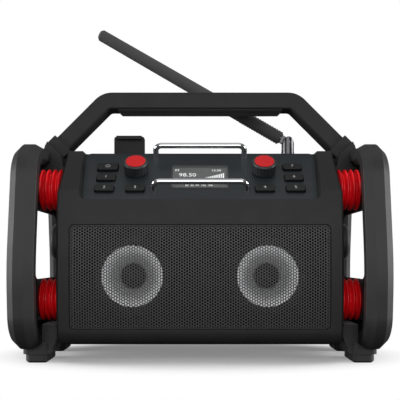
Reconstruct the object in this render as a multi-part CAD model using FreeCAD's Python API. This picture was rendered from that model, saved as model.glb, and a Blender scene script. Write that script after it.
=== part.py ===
"""Jobsite radio: a cabinet hung on rubber dampers inside two side rings, under a fixed carrying handle.

Millimetres. +Z is up, the front faces -Y and +X is to the right of someone facing the radio. The origin is
on the ground, below the middle of the radio.
"""

import FreeCAD
import Part
import math
import os
from FreeCAD import Placement, Rotation, Vector

# Side rings
RING_HALF_WIDTH = 186.0
RING_OUTER_CHAMFER = 7.5
RING_FLAT = 10.0
RING_INNER_CHAMFER = 9.0
RING_OUTER_DROP = 7.0
RING_INNER_DROP = 5.0
RING_WALL = 20.0
RING_LOOP_CHAMFER = 5.5
RING_HALF_DEPTH = 100.0
RING_TOP = 222.7
RING_BASE = 14.0
RING_TOP_HALF_DEPTH = 81.5
RING_BASE_HALF_DEPTH = 94.0
RING_BULGE_HEIGHT = 96.0
RING_TOP_RADIUS = 40.0
RING_BASE_RADIUS = 38.0
RING_BULGE_RADIUS = 240.0

# Damper carriers inside the rings
CARRIER_SETBACK = 14.0
CARRIER_THICKNESS = 5.0
CARRIER_WINDOW_HALF_DEPTH = 58.0
CARRIER_WINDOW_LOW = 84.0
CARRIER_WINDOW_HIGH = 156.0
CARRIER_WINDOW_RADIUS = 12.0

# Dampers and their bolts
DAMPER_RADIUS = 21.5
DAMPER_ROOT_RADIUS = 18.2
DAMPER_RIBS = 4
DAMPER_PITCH = 5.3
DAMPER_FLANGE = 2.6
DAMPER_HALF_SPACING = 43.0
DAMPER_LOW = 63.2
DAMPER_HIGH = 176.3
BOLT_RADIUS = 3.0
BOLT_HEAD_RADIUS = 6.5
BOLT_HEAD_HEIGHT = 4.0
BOLT_DEPTH = 14.0

# Feet and their brackets
FOOT_WIDTH = 23.0
FOOT_INSET = 9.0
FOOT_NEAR = 19.5
FOOT_FAR = 60.5
FOOT_LIP = 2.2
FOOT_LIP_LOW = 9.0
FOOT_LIP_HIGH = 20.0
FOOT_EDGE = 2.0
FOOT_CORNER = 6.0
FOOT_BRACKET_REACH = 15.0
FOOT_BRACKET_TOP = 39.0

# Cabinet
CABINET_HALF_WIDTH = 139.8
CABINET_BASE = 20.0
CABINET_TOP = 219.0
CABINET_FRONT = 84.0
CABINET_FRONT_BOW = 3.0
CABINET_REAR = 82.0
CABINET_WALL = 3.0
CABINET_SPLIT = 24.0
CABINET_EDGE = 6.0
CABINET_SIDE_BEVEL = 2.2
FACE_BASE = 36.0
FACE_TOP = 150.0
CHEEK_PROUD = 11.0

# Control panel, measured up its own slope
PANEL_FRONT = -73.0
PANEL_BASE = 164.0
PANEL_LENGTH = 79.9
PANEL_ANGLE = 43.5
PANEL_HALF_LOW = 117.4
PANEL_HALF_HIGH = 123.3
PANEL_THICKNESS = 2.5
PANEL_LEDGE = 4.0
PANEL_CORNER = 6.0
PANEL_EDGE_GAP = 0.3
PANEL_POST_RADIUS = 2.5
PANEL_POSTS = ((81.0, 16.0), (82.5, 46.0), (40.0, 67.0))
BOARD_DEPTH = 6.0
BOARD_THICKNESS = 1.6

# Buttons
BUTTON_COLUMN = 96.5
BUTTON_INNER_COLUMN = 65.4
BUTTON_ROWS = (16.4, 34.4, 53.0)
BUTTON_SIZE = (19.6, 10.2)
POWER_SIZE = (21.6, 12.0)
BUTTON_HEIGHT = 3.0
BUTTON_TRAVEL = 1.0
BUTTON_STEM = 3.0
BUTTON_GAP = 0.4
BUTTON_CORNER = 2.2

# Knobs
KNOB_COLUMN = 66.2
KNOB_ROW = 45.9
KNOB_RADIUS = 12.4
KNOB_CAP_RADIUS = 10.0
KNOB_TOP = 13.6
KNOB_GAP = 2.2
KNOB_CAP_DEPTH = 2.0
KNOB_CAP_PROUD = 0.8
SHAFT_RADIUS = 3.0
SHAFT_DEPTH = 10.0
COLLAR_RADIUS = 5.5
COLLAR_LOW = -7.0
COLLAR_HIGH = 0.8
RUNNING_GAP = 0.06
ENCODER_SIZE = 16.0

# Display
SCREEN_HALF_WIDTH = 29.6
SCREEN_LOW = 19.4
SCREEN_HIGH = 58.1
WINDOW_THICKNESS = 1.5
DISPLAY_THICKNESS = 4.0
DISPLAY_MARGIN = 3.0

# Guard bars
BAR_RADIUS = 2.9
BAR_HEIGHT = 15.0
BAR_BEND = 6.5
BAR_ROOT = 6.0
UPPER_BAR_ROW = 72.5
UPPER_BAR_HALF = 47.0
LOWER_BAR_ROW = 9.4
LOWER_BAR_HALF = 46.5

# Grille, baffle and speakers
GRILLE_HALF_WIDTH = 126.6
GRILLE_LOW = 37.0
GRILLE_HIGH = 138.0
GRILLE_GAP = 0.8
GRILLE_CORNER = 4.5
GRILLE_THICKNESS = 1.6
GRILLE_RECESS = 0.6
GRILLE_RIM_OUT = 3.0
GRILLE_RIM_IN = 3.0
BAFFLE_LAP = 2.0
BAFFLE_THICKNESS = 5.0
BAFFLE_SETBACK = 7.0
SPEAKER_OFFSET = 66.9
SPEAKER_HEIGHT = 88.0
SPEAKER_RADIUS = 43.5
CONE_RADIUS = 38.0
CONE_DEPTH = 14.0
CONE_WALL = 1.0
DUST_CAP_RADIUS = 12.4
BASKET_DEPTH = 26.0
BASKET_WALL = 2.0
MAGNET_RADIUS = 27.0
MAGNET_DEPTH = 15.0
MAGNET_BORE = 4.0

# Side bump stops
STOP_RADIUS = 20.0
STOP_REACH = 22.0
STOP_HEIGHT = 123.5
STOP_EDGE = 4.0

# Handle
HANDLE_TOP = 286.5
HANDLE_HEIGHT = 18.8
HANDLE_HALF_DEPTH = 12.0
HANDLE_SHOULDER = 106.5
HANDLE_ARM_INSET = 19.2
HANDLE_OUTER_BEND = 26.0
HANDLE_INNER_BEND = 5.0
HANDLE_EDGE = 2.8
GRIP_HALF_LENGTH = 89.0
GRIP_DROP = 3.4
GRIP_HALF_DEPTH = 10.5
GRIP_EDGE = 3.0
SLEEVE_LENGTH = 16.0
SLEEVE_WALL = 2.2
BRACKET_HALF_DEPTH = 26.0
BRACKET_OVERLAP = 4.0
BRACKET_DROP = 23.9
BRACKET_SHELF_DROP = 19.3
BRACKET_CLEARANCE = 2.5

# Antenna
ANTENNA_X = 101.2
ANTENNA_Y = 31.0
ANTENNA_PIVOT = 239.0
ANTENNA_TILT = 30.0
ANTENNA_LENGTH = 250.0
ANTENNA_TIP_RADIUS = 6.6
ANTENNA_ROOT_RADIUS = 7.7
ANTENNA_RIBBED = 62.0
ANTENNA_RIB_PITCH = 3.2
ANTENNA_RIB_DEPTH = 0.6
SOCKET_RADIUS = 11.0
SOCKET_HEIGHT = 5.0
SWIVEL_RADIUS = 7.4
SWIVEL_STEM_RADIUS = 4.0
FORK_SLOT = 6.0
FORK_GAP = 0.35
ANTENNA_PIN_RADIUS = 2.0
NECK_LENGTH = 18.0
NECK_START = 9.0

# Phone clamp
CLAMP_CENTRE = -76.8
CLAMP_WIDTH = 33.0
CLAMP_TOP = 238.2
CLAMP_FRONT = -11.0
CLAMP_THICKNESS = 5.0
CLAMP_LIP = 5.0
CLAMP_LIP_HEIGHT = 3.6
CLAMP_CORNER = 3.0
CLAMP_DEPTH = 38.0
CLAMP_GAP = 0.4

# Battery bay and door
DOOR_HALF_WIDTH = 98.0
DOOR_LOW = 42.0
DOOR_HIGH = 122.0
DOOR_THICKNESS = 3.5
DOOR_GAP = 0.6
DOOR_BARREL = 3.2
TRUNNION_RADIUS = 1.8
TRUNNION_LENGTH = 4.0
CELL_RADIUS = 16.9
CELL_LENGTH = 60.0
CELL_COUNT = 3
CELL_GAP = 0.6
LATCH_WIDTH = 24.0
LATCH_HEIGHT = 10.0
LATCH_TRAVEL = 3.0

# Rear sockets
SOCKET_X = 112.0
DC_HEIGHT = 60.0
AUX_HEIGHT = 170.0
AUX_RADIUS = 1.8
AUX_DEPTH = 14.0
DC_RADIUS = 3.1
DC_DEPTH = 10.0
DC_PIN_RADIUS = 1.0
FLAP_WIDTH = 26.0
FLAP_HEIGHT = 20.0
FLAP_THICKNESS = 2.4

SCREW_RADIUS = 1.9
SCREW_HEAD_RADIUS = 3.6
SCREW_HEAD_HEIGHT = 2.0
SCREW_DEPTH = 16.0

RING_INNER_X = RING_HALF_WIDTH - RING_OUTER_CHAMFER - RING_FLAT - RING_INNER_CHAMFER
CARRIER_X = RING_HALF_WIDTH - CARRIER_SETBACK
FOOT_OUTER = RING_HALF_WIDTH - FOOT_INSET
FOOT_INNER = FOOT_OUTER - FOOT_WIDTH
BRACKET_BASE = RING_TOP - BRACKET_DROP
BRACKET_SHELF = RING_TOP - BRACKET_SHELF_DROP
HANDLE_ARM_END = RING_HALF_WIDTH - HANDLE_ARM_INSET
PANEL_PLACE = Placement(Vector(0, PANEL_FRONT, PANEL_BASE), Rotation(Vector(1, 0, 0), PANEL_ANGLE))
PANEL_TOP = PANEL_BASE + PANEL_LENGTH * math.sin(math.radians(PANEL_ANGLE))
BOARD_TOP = -PANEL_THICKNESS - BOARD_DEPTH
UP = Vector(0, 0, 1)
REARWARD = Vector(0, 1, 0)
RIGHTWARD = Vector(1, 0, 0)


def box(low, high):
    """A block between two opposite corners."""
    size = [h - l for l, h in zip(low, high)]
    return Part.makeBox(*size, Vector(*low))


def rod(start, direction, radius, length):
    """A round rod."""
    return Part.makeCylinder(radius, length, Vector(*start), direction)


def rounded_wire(points, radii):
    """A closed outline through corner points, each rounded to its own radius."""
    edges = []
    count = len(points)
    ends = []
    for i, (corner, radius) in enumerate(zip(points, radii)):
        before = (points[i - 1] - corner).normalize()
        after = (points[(i + 1) % count] - corner).normalize()
        half_angle = before.getAngle(after) / 2
        if radius == 0:
            ends.append((corner, corner, corner))
            continue
        reach = radius / math.tan(half_angle)
        middle = (before + after).normalize()
        top = corner + middle * (radius / math.sin(half_angle) - radius)
        ends.append((corner + before * reach, top, corner + after * reach))
    for i, (start, middle, end) in enumerate(ends):
        if start != end:
            edges.append(Part.Arc(start, middle, end).toShape())
        following = ends[(i + 1) % count][0]
        edges.append(Part.LineSegment(end, following).toShape())
    return Part.Wire(edges)


def prism(points, radii, along):
    """A rounded outline pushed along a vector."""
    return Part.Face(rounded_wire(points, radii)).extrude(along)


def rounded_plate(half_width, low, high, corner, base, height):
    """A flat plate with rounded corners, lying in X and Y."""
    points = [Vector(-half_width, low, base), Vector(half_width, low, base)]
    points += [Vector(half_width, high, base), Vector(-half_width, high, base)]
    return prism(points, [corner] * 4, Vector(0, 0, height))


def spin_x(outline, centre):
    """A solid turned about an X-ward axis from (distance along X, radius) points."""
    points = [Vector(x, centre[0], centre[1] + r) for x, r in outline]
    wire = Part.makePolygon(points + [points[0]])
    return Part.Face(wire).revolve(Vector(0, *centre), RIGHTWARD, 360)


def spin_y(outline, x, z):
    """A solid turned about a Y-ward axis from (distance along Y, radius) points."""
    points = [Vector(x + r, y, z) for y, r in outline]
    wire = Part.makePolygon(points + [points[0]])
    return Part.Face(wire).revolve(Vector(x, 0, z), REARWARD, 360)


def on_panel(shape):
    """Moves a shape drawn flat onto the sloping panel."""
    shape.Placement = PANEL_PLACE.multiply(shape.Placement)
    return shape


def both_sides(shape):
    """The shape and its mirror image on the radio's left."""
    return shape, shape.mirror(Vector(0, 0, 0), RIGHTWARD)


def front_and_rear(shape):
    """The shape and its mirror image at the rear."""
    return [shape, shape.mirror(Vector(0, 0, 0), REARWARD)]


def ring_outline(x, inset):
    """The side ring's outline at one X, drawn in from its outermost surface."""
    top, bulge, base = RING_TOP_HALF_DEPTH, RING_HALF_DEPTH, RING_BASE_HALF_DEPTH
    corners = [(-base, RING_BASE), (base, RING_BASE), (bulge, RING_BULGE_HEIGHT)]
    corners += [(top, RING_TOP), (-top, RING_TOP), (-bulge, RING_BULGE_HEIGHT)]
    radii = [RING_BASE_RADIUS] * 2 + [RING_BULGE_RADIUS] + [RING_TOP_RADIUS] * 2 + [RING_BULGE_RADIUS]
    wire = rounded_wire([Vector(x, y, z) for y, z in corners], radii)
    return wire.makeOffset2D(-inset) if inset else wire


def ring_layer(x_low, inset_low, x_high, inset_high):
    """A slice of the ring's outer form between two outlines."""
    return Part.makeLoft([ring_outline(x_low, inset_low), ring_outline(x_high, inset_high)], True, True)


def ring():
    """The right-hand side ring: a closed loop with broad chamfers on all four edges."""
    flat_low = RING_INNER_X + RING_INNER_CHAMFER
    flat_high = flat_low + RING_FLAT
    body = ring_layer(RING_INNER_X, RING_INNER_DROP, flat_low, 0)
    body = body.fuse(ring_layer(flat_low, 0, flat_high, 0))
    body = body.fuse(ring_layer(flat_high, 0, RING_HALF_WIDTH, RING_OUTER_DROP))
    near_loop = RING_INNER_X + RING_LOOP_CHAMFER
    far_loop = RING_HALF_WIDTH - RING_LOOP_CHAMFER
    opened = RING_WALL - RING_LOOP_CHAMFER
    hole = ring_layer(RING_INNER_X, opened, near_loop, RING_WALL)
    hole = hole.fuse(ring_layer(near_loop, RING_WALL, far_loop, RING_WALL))
    hole = hole.fuse(ring_layer(far_loop, RING_WALL, RING_HALF_WIDTH, opened))
    return body.cut(hole).removeSplitter()


def damper_centres():
    """Where the four dampers of one side stand, as (Y, Z)."""
    return [(y, z) for y in (-DAMPER_HALF_SPACING, DAMPER_HALF_SPACING) for z in (DAMPER_LOW, DAMPER_HIGH)]


def carrier():
    """The web across the right-hand ring that the dampers are bolted to, with a window in its middle."""
    low, high = CARRIER_X - CARRIER_THICKNESS, CARRIER_X
    plate = ring_layer(low, RING_WALL, high, RING_WALL)
    reach = CARRIER_WINDOW_HALF_DEPTH
    corners = [(-reach, CARRIER_WINDOW_LOW), (reach, CARRIER_WINDOW_LOW)]
    corners += [(reach, CARRIER_WINDOW_HIGH), (-reach, CARRIER_WINDOW_HIGH)]
    points = [Vector(low, y, z) for y, z in corners]
    plate = plate.cut(prism(points, [CARRIER_WINDOW_RADIUS] * 4, Vector(CARRIER_THICKNESS, 0, 0)))
    for y, z in damper_centres():
        plate = plate.cut(rod((low, y, z), RIGHTWARD, BOLT_RADIUS, CARRIER_THICKNESS))
    return plate


def damper(centre):
    """A ribbed rubber damper between the cabinet's side and the carrier, bored for its bolt."""
    start, end = CABINET_HALF_WIDTH, CARRIER_X - CARRIER_THICKNESS
    rib_start = start + (end - start - DAMPER_RIBS * DAMPER_PITCH) / 2
    outline = [(start, DAMPER_ROOT_RADIUS), (rib_start, DAMPER_ROOT_RADIUS)]
    for n in range(DAMPER_RIBS):
        foot = rib_start + n * DAMPER_PITCH
        outline.append((foot + DAMPER_PITCH * 0.4, DAMPER_RADIUS))
        outline.append((foot + DAMPER_PITCH * 0.6, DAMPER_RADIUS))
        outline.append((foot + DAMPER_PITCH, DAMPER_ROOT_RADIUS))
    outline += [(end - DAMPER_FLANGE, DAMPER_ROOT_RADIUS), (end - DAMPER_FLANGE, DAMPER_RADIUS)]
    outline += [(end, DAMPER_RADIUS), (end, 0), (start, 0)]
    bolt = rod((end - BOLT_DEPTH, *centre), RIGHTWARD, BOLT_RADIUS, BOLT_DEPTH)
    return spin_x(outline, centre).cut(bolt)


def damper_pair(height):
    """The front and rear dampers at one height on the right."""
    return [damper((y, height)) for y in (-DAMPER_HALF_SPACING, DAMPER_HALF_SPACING)]


def damper_bolts():
    """The eight bolts that hold the dampers to the carriers."""
    solids = []
    for centre in damper_centres():
        shank_start = CARRIER_X - CARRIER_THICKNESS - BOLT_DEPTH
        shank = rod((shank_start, *centre), RIGHTWARD, BOLT_RADIUS, BOLT_DEPTH + CARRIER_THICKNESS)
        head = rod((CARRIER_X, *centre), RIGHTWARD, BOLT_HEAD_RADIUS, BOLT_HEAD_HEIGHT)
        socket = hexagon(CARRIER_X + BOLT_HEAD_HEIGHT / 2, centre, BOLT_RADIUS)
        solids += both_sides(shank.fuse(head).removeSplitter().cut(socket))
    return solids


def hexagon(x, centre, radius):
    """A six-sided key socket that opens outwards along X."""
    points = []
    for n in range(7):
        angle = math.radians(60 * n)
        points.append(Vector(x, centre[0] + radius * math.cos(angle), centre[1] + radius * math.sin(angle)))
    return Part.Face(Part.makePolygon(points)).extrude(Vector(BOLT_HEAD_HEIGHT, 0, 0))


def foot_block(grow, low, high):
    """A block with rounded corners over a foot's plan, grown by a lip, between two heights."""
    near, far = FOOT_NEAR - grow, FOOT_FAR + grow
    inner, outer = FOOT_INNER - grow, FOOT_OUTER + grow
    points = [Vector(inner, near, low), Vector(outer, near, low), Vector(outer, far, low), Vector(inner, far, low)]
    return prism(points, [FOOT_CORNER] * 4, Vector(0, 0, high - low))


def feet(ring_solid):
    """The four rubber feet, each hooked round a ring's base with a bracket up the ring's inner side."""
    block = foot_block(0, 0, FOOT_LIP_LOW)
    block = block.makeChamfer(FOOT_EDGE, [e for e in block.Edges if e.CenterOfMass.z < 0.01])
    lip = foot_block(FOOT_LIP, FOOT_LIP_LOW, FOOT_LIP_HIGH)
    inner = RING_INNER_X - FOOT_BRACKET_REACH
    outline = [(RING_INNER_X, FOOT_LIP_LOW), (RING_INNER_X, FOOT_BRACKET_TOP)]
    outline += [(inner, FOOT_BRACKET_TOP), (inner, FOOT_LIP_HIGH + 6), (FOOT_INNER - FOOT_LIP, FOOT_LIP_LOW)]
    points = [Vector(x, FOOT_NEAR, z) for x, z in outline]
    arm = prism(points, [0, 0, 4, 4, 0], Vector(0, FOOT_FAR - FOOT_NEAR, 0))
    foot = block.fuse([lip, arm]).removeSplitter()
    foot = foot.cut(ring_solid).cut(ring_core())
    return [solid for half in both_sides(foot) for solid in front_and_rear(half)]


def ring_core():
    """The space inside the ring's loop, which the feet stay out of."""
    return ring_layer(RING_INNER_X, RING_WALL / 2, RING_HALF_WIDTH, RING_WALL / 2)


def cabinet_outline(x, inset):
    """The cabinet's side outline, drawn in by a wall."""
    front, rear = -CABINET_FRONT + inset, CABINET_REAR - inset
    base, top = CABINET_BASE + inset, CABINET_TOP - inset
    bow = front - CABINET_FRONT_BOW
    middle = (FACE_BASE + FACE_TOP) / 2
    arc = Part.Arc(Vector(x, front, FACE_BASE), Vector(x, bow, middle), Vector(x, front, FACE_TOP))
    roll = FACE_BASE - base
    share = roll * (1 - math.sqrt(0.5))
    toe_middle = Vector(x, front + share, base + share)
    toe = Part.Arc(Vector(x, front + roll, base), toe_middle, Vector(x, front, FACE_BASE))
    slope = math.radians(PANEL_ANGLE)
    proud = CHEEK_PROUD - inset
    cheek_y, cheek_z = PANEL_FRONT - proud * math.sin(slope), PANEL_BASE + proud * math.cos(slope)
    rest = [(front, FACE_TOP), (cheek_y, cheek_z), (cheek_y + (top - cheek_z) / math.tan(slope), top)]
    rest += [(rear - CABINET_EDGE, top), (rear, top - CABINET_EDGE), (rear, base + CABINET_EDGE)]
    rest += [(rear - CABINET_EDGE, base), (front + roll, base)]
    line = Part.makePolygon([Vector(x, y, z) for y, z in rest])
    return Part.Wire([arc.toShape()] + line.Edges + [toe.toShape()])


def cabinet_block(half, inset):
    """The cabinet's side outline, drawn in by an inset, pushed across between two sides."""
    return Part.Face(cabinet_outline(-half, inset)).extrude(Vector(2 * half, 0, 0))


def panel_outline(margin, height):
    """The panel's flared outline, drawn in by a margin, at a height above its face."""
    low, high = margin, PANEL_LENGTH - margin
    slope = (PANEL_HALF_HIGH - PANEL_HALF_LOW) / PANEL_LENGTH
    half_low = PANEL_HALF_LOW + slope * low - margin
    half_high = PANEL_HALF_LOW + slope * high - margin
    points = [Vector(-half_low, low, height), Vector(half_low, low, height)]
    points += [Vector(half_high, high, height), Vector(-half_high, high, height)]
    return points


def panel_block(margin, low, high, corner):
    """A block over the panel's outline between two heights above its face."""
    return on_panel(prism(panel_outline(margin, low), [corner] * 4, Vector(0, 0, high - low)))


def panel_view(margin, top, radii):
    """The panel's flared outline as seen from the front, drawn in by a margin and pushed front to rear."""
    slope = (PANEL_HALF_HIGH - PANEL_HALF_LOW) / (PANEL_TOP - PANEL_BASE)
    low = PANEL_BASE + margin
    half_low = PANEL_HALF_LOW + slope * margin - margin
    half_top = PANEL_HALF_LOW + slope * (top - PANEL_BASE) - margin
    start = -2 * CABINET_FRONT
    points = [Vector(-half_low, start, low), Vector(half_low, start, low)]
    points += [Vector(half_top, start, top), Vector(-half_top, start, top)]
    return prism(points, radii, Vector(0, 4 * CABINET_FRONT, 0))


def panel_slab(low, high):
    """All the space between two heights above the panel's face."""
    reach = 2 * PANEL_HALF_HIGH
    return on_panel(box((-reach, -reach, low), (reach, reach, high)))


def panel_recess():
    """What is cut from the cabinet above the sloping panel, down to a level shelf at the panel's foot."""
    view = panel_view(-PANEL_EDGE_GAP, 2 * CABINET_TOP, [PANEL_CORNER, PANEL_CORNER, 0, 0])
    return view.common(panel_slab(-PANEL_THICKNESS, 2 * CABINET_TOP))


def cabinet():
    """The cabinet as one hollow box, before it is split into its two shells."""
    half, wall = CABINET_HALF_WIDTH, CABINET_WALL
    outer = cabinet_block(half - CABINET_SIDE_BEVEL, 0)
    for sign in (-1, 1):
        near = cabinet_outline(sign * (half - CABINET_SIDE_BEVEL), 0)
        far = cabinet_outline(sign * half, CABINET_SIDE_BEVEL)
        outer = outer.fuse(Part.makeLoft([near, far], True, True))
    outer = outer.removeSplitter().cut(panel_recess())
    inner = cabinet_block(half - wall, wall)
    return outer.cut(inner.cut(panel_slab(-PANEL_THICKNESS - wall, 2 * CABINET_TOP)))


def grille_block(grow, near, far):
    """A block over the grille's outline, grown by a gap, between two distances behind the front face."""
    half, low, high = GRILLE_HALF_WIDTH + grow, GRILLE_LOW - grow, GRILLE_HIGH + grow
    points = [Vector(-half, near, low), Vector(half, near, low), Vector(half, near, high), Vector(-half, near, high)]
    return prism(points, [GRILLE_CORNER + grow] * 4, Vector(0, far - near, 0))


def grille_rim():
    """The thickened rim inside the shell's face, which the grille lies in and the baffle is fixed behind."""
    block = grille_block(GRILLE_RIM_OUT, -2 * CABINET_FRONT, baffle_front())
    return block.common(cabinet_block(CABINET_HALF_WIDTH - CABINET_WALL, GRILLE_RECESS))


def grille_seat():
    """What is cut from the shell's face for the grille: a shallow bowed seat, then an opening inside its ledge."""
    seat = grille_block(GRILLE_GAP, -2 * CABINET_FRONT, baffle_front())
    seat = seat.cut(cabinet_block(CABINET_HALF_WIDTH, GRILLE_RECESS + GRILLE_THICKNESS))
    return seat.fuse(grille_block(-GRILLE_RIM_IN, -2 * CABINET_FRONT, -CABINET_FRONT / 2))


def front_shell(body):
    """The front half of the cabinet, open for the panel and the speaker baffle."""
    shell = body.common(box((-200, -200, 0), (200, CABINET_SPLIT, 300)))
    shell = shell.cut(panel_block(PANEL_LEDGE, -PANEL_THICKNESS - 12, 1, 1))
    return shell.fuse(grille_rim()).cut(grille_seat()).cut(clamp_slot()).cut(screw_bores())


def rear_shell(body):
    """The rear half of the cabinet, with the battery bay, the door's recess and the socket openings."""
    shell = body.common(box((-200, CABINET_SPLIT, 0), (200, 200, 300)))
    bay_front = CABINET_REAR - DOOR_THICKNESS - 2 * CELL_RADIUS - 6
    bay = box((-DOOR_HALF_WIDTH, bay_front, DOOR_LOW - 3), (DOOR_HALF_WIDTH, CABINET_REAR - 1, DOOR_HIGH + 3))
    shell = shell.fuse(bay)
    hollow_half = DOOR_HALF_WIDTH - 4
    inside = box((-hollow_half, bay_front + 2, DOOR_LOW + 3), (hollow_half, CABINET_REAR + 9, DOOR_HIGH - 3))
    shell = shell.cut(inside).cut(door_recess())
    for x in (-DOOR_HALF_WIDTH - TRUNNION_LENGTH - 1, DOOR_HALF_WIDTH - DOOR_GAP - 1):
        bore = rod((x, *door_axis()), RIGHTWARD, TRUNNION_RADIUS + RUNNING_GAP, TRUNNION_LENGTH + 2 + DOOR_GAP)
        shell = shell.cut(bore)
    shell = shell.cut(latch_keeper()).cut(socket_openings())
    shell = shell.cut(rod((ANTENNA_X, ANTENNA_Y, CABINET_TOP - 9), UP, SWIVEL_STEM_RADIUS + 1, 20))
    return shell.cut(screw_bores()).removeSplitter()


def door_axis():
    """The battery door's hinge line, as (Y, Z)."""
    return CABINET_REAR - DOOR_BARREL, DOOR_LOW + DOOR_BARREL


def door_recess():
    """The seat in the rear wall that the battery door lies in, with room for its barrel."""
    half = DOOR_HALF_WIDTH
    seat = box((-half, CABINET_REAR - DOOR_THICKNESS - DOOR_GAP, DOOR_LOW), (half, CABINET_REAR + 5, DOOR_HIGH))
    y, z = door_axis()
    return seat.fuse(rod((-half, y, z), RIGHTWARD, DOOR_BARREL + DOOR_GAP, 2 * half))


def battery_door():
    """The battery door, with its hinge barrel and trunnions along its lower edge and a slot for its latch."""
    half = DOOR_HALF_WIDTH - DOOR_GAP
    y, z = door_axis()
    plate = box((-half, CABINET_REAR - DOOR_THICKNESS, z), (half, CABINET_REAR, DOOR_HIGH - DOOR_GAP))
    barrel = rod((-half, y, z), RIGHTWARD, DOOR_BARREL, 2 * half)
    pins = rod((-half - TRUNNION_LENGTH, y, z), RIGHTWARD, TRUNNION_RADIUS, 2 * (half + TRUNNION_LENGTH))
    door = plate.fuse([barrel, pins]).removeSplitter()
    return door.cut(latch_block(0.3, LATCH_TRAVEL)).cut(latch_tongue(0.3, LATCH_TRAVEL))


def latch_block(grow, rise):
    """The latch's thumb plate in the door's outer face, grown by a gap."""
    top = DOOR_HIGH - DOOR_GAP - 6
    low = (-LATCH_WIDTH / 2 - grow, CABINET_REAR - 1.6 - grow, top - LATCH_HEIGHT - grow)
    return box(low, (LATCH_WIDTH / 2 + grow, CABINET_REAR + grow, top + rise + grow))


def latch_tongue(grow, rise):
    """The latch's tongue, which reaches up through the door's top edge."""
    reach = LATCH_WIDTH / 4 + grow
    low = (-reach, CABINET_REAR - 2.8 - grow, DOOR_HIGH - 14)
    return box(low, (reach, CABINET_REAR - 1.2, DOOR_HIGH - DOOR_GAP - 0.4 + rise + grow))


def battery_latch():
    """The door's sliding latch, drawn back, with ridges for a thumb."""
    latch = latch_block(0, 0).fuse(latch_tongue(0, 0)).removeSplitter()
    for n in range(3):
        z = DOOR_HIGH - DOOR_GAP - 9 - 2.6 * n
        latch = latch.fuse(box((-9, CABINET_REAR - 0.5, z), (9, CABINET_REAR + 0.7, z + 1.1)))
    return latch.removeSplitter()


def latch_keeper():
    """The slot above the door that the latch's tongue slides into."""
    return latch_tongue(0.8, LATCH_TRAVEL + 0.6)


def battery_cells():
    """Six large cells in two rows, lying along X inside the bay."""
    y = CABINET_REAR - DOOR_THICKNESS - DOOR_GAP - CELL_RADIUS - 1
    span = CELL_COUNT * CELL_LENGTH
    solids = []
    for z in (DOOR_LOW + 3 + CELL_GAP + CELL_RADIUS, DOOR_HIGH - 3 - CELL_GAP - CELL_RADIUS):
        for n in range(CELL_COUNT):
            x = -span / 2 + n * CELL_LENGTH
            can = rod((x + CELL_GAP, y, z), RIGHTWARD, CELL_RADIUS, CELL_LENGTH - 3.5)
            cap = rod((x + CELL_LENGTH - 3.5, y, z), RIGHTWARD, 4.5, 2.4)
            solids.append(can.fuse(cap).removeSplitter())
    return solids


def socket_openings():
    """The openings in the rear wall for the two sockets and the seat of the power socket's flap."""
    y = CABINET_REAR - CABINET_WALL - 1
    aux = rod((SOCKET_X, y, AUX_HEIGHT), REARWARD, AUX_RADIUS + 2, 20)
    dc = rod((SOCKET_X, y, DC_HEIGHT), REARWARD, DC_RADIUS + 1.4, 20)
    barrel = FLAP_THICKNESS / 2 + 0.5
    low = (SOCKET_X - FLAP_WIDTH / 2 - 0.5, CABINET_REAR - 1, DC_HEIGHT - FLAP_HEIGHT / 2 - barrel)
    high = (SOCKET_X + FLAP_WIDTH / 2 + 0.5, CABINET_REAR + 5, DC_HEIGHT + FLAP_HEIGHT / 2 + 0.5)
    return aux.fuse([dc, box(low, high)])


def sockets():
    """The audio socket and the power inlet with its centre pin, on the inside of the rear wall."""
    y = CABINET_REAR - CABINET_WALL
    aux = box((SOCKET_X - 6, y - AUX_DEPTH, AUX_HEIGHT - 5), (SOCKET_X + 6, y, AUX_HEIGHT + 5))
    aux = aux.fuse(rod((SOCKET_X, y, AUX_HEIGHT), REARWARD, AUX_RADIUS + 1.9, CABINET_WALL))
    aux = aux.cut(rod((SOCKET_X, y - AUX_DEPTH + 2, AUX_HEIGHT), REARWARD, AUX_RADIUS, 40))
    dc = box((SOCKET_X - 7, y - DC_DEPTH - 3, DC_HEIGHT - 6), (SOCKET_X + 7, y, DC_HEIGHT + 6))
    dc = dc.cut(rod((SOCKET_X, y - DC_DEPTH, DC_HEIGHT), REARWARD, DC_RADIUS, 40))
    return aux, dc.fuse(rod((SOCKET_X, y - DC_DEPTH - 1, DC_HEIGHT), REARWARD, DC_PIN_RADIUS, DC_DEPTH))


def socket_flap():
    """The rubber flap over the power inlet, hinged along its lower edge."""
    half_w, half_h = FLAP_WIDTH / 2, FLAP_HEIGHT / 2
    y = CABINET_REAR - 0.7
    corners = [(-half_w, -half_h), (half_w, -half_h), (half_w, half_h), (-half_w, half_h)]
    points = [Vector(SOCKET_X + x, y, DC_HEIGHT + z) for x, z in corners]
    plate = prism(points, [0, 0, 4, 4], Vector(0, FLAP_THICKNESS, 0))
    tab = box((SOCKET_X - 5, y + FLAP_THICKNESS - 1, DC_HEIGHT + half_h - 4),
              (SOCKET_X + 5, y + FLAP_THICKNESS + 1.4, DC_HEIGHT + half_h - 1.6))
    hinge = (SOCKET_X - half_w, y + FLAP_THICKNESS / 2, DC_HEIGHT - half_h)
    barrel = rod(hinge, RIGHTWARD, FLAP_THICKNESS / 2, FLAP_WIDTH)
    return plate.fuse([tab, barrel]).removeSplitter()


def screw_places():
    """Where the shell screws go in from the rear, as (X, Z)."""
    x = CABINET_HALF_WIDTH - 9
    return [(sign * x, z) for sign in (-1, 1) for z in (CABINET_BASE + 14, 118, CABINET_TOP - 18)]


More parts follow.
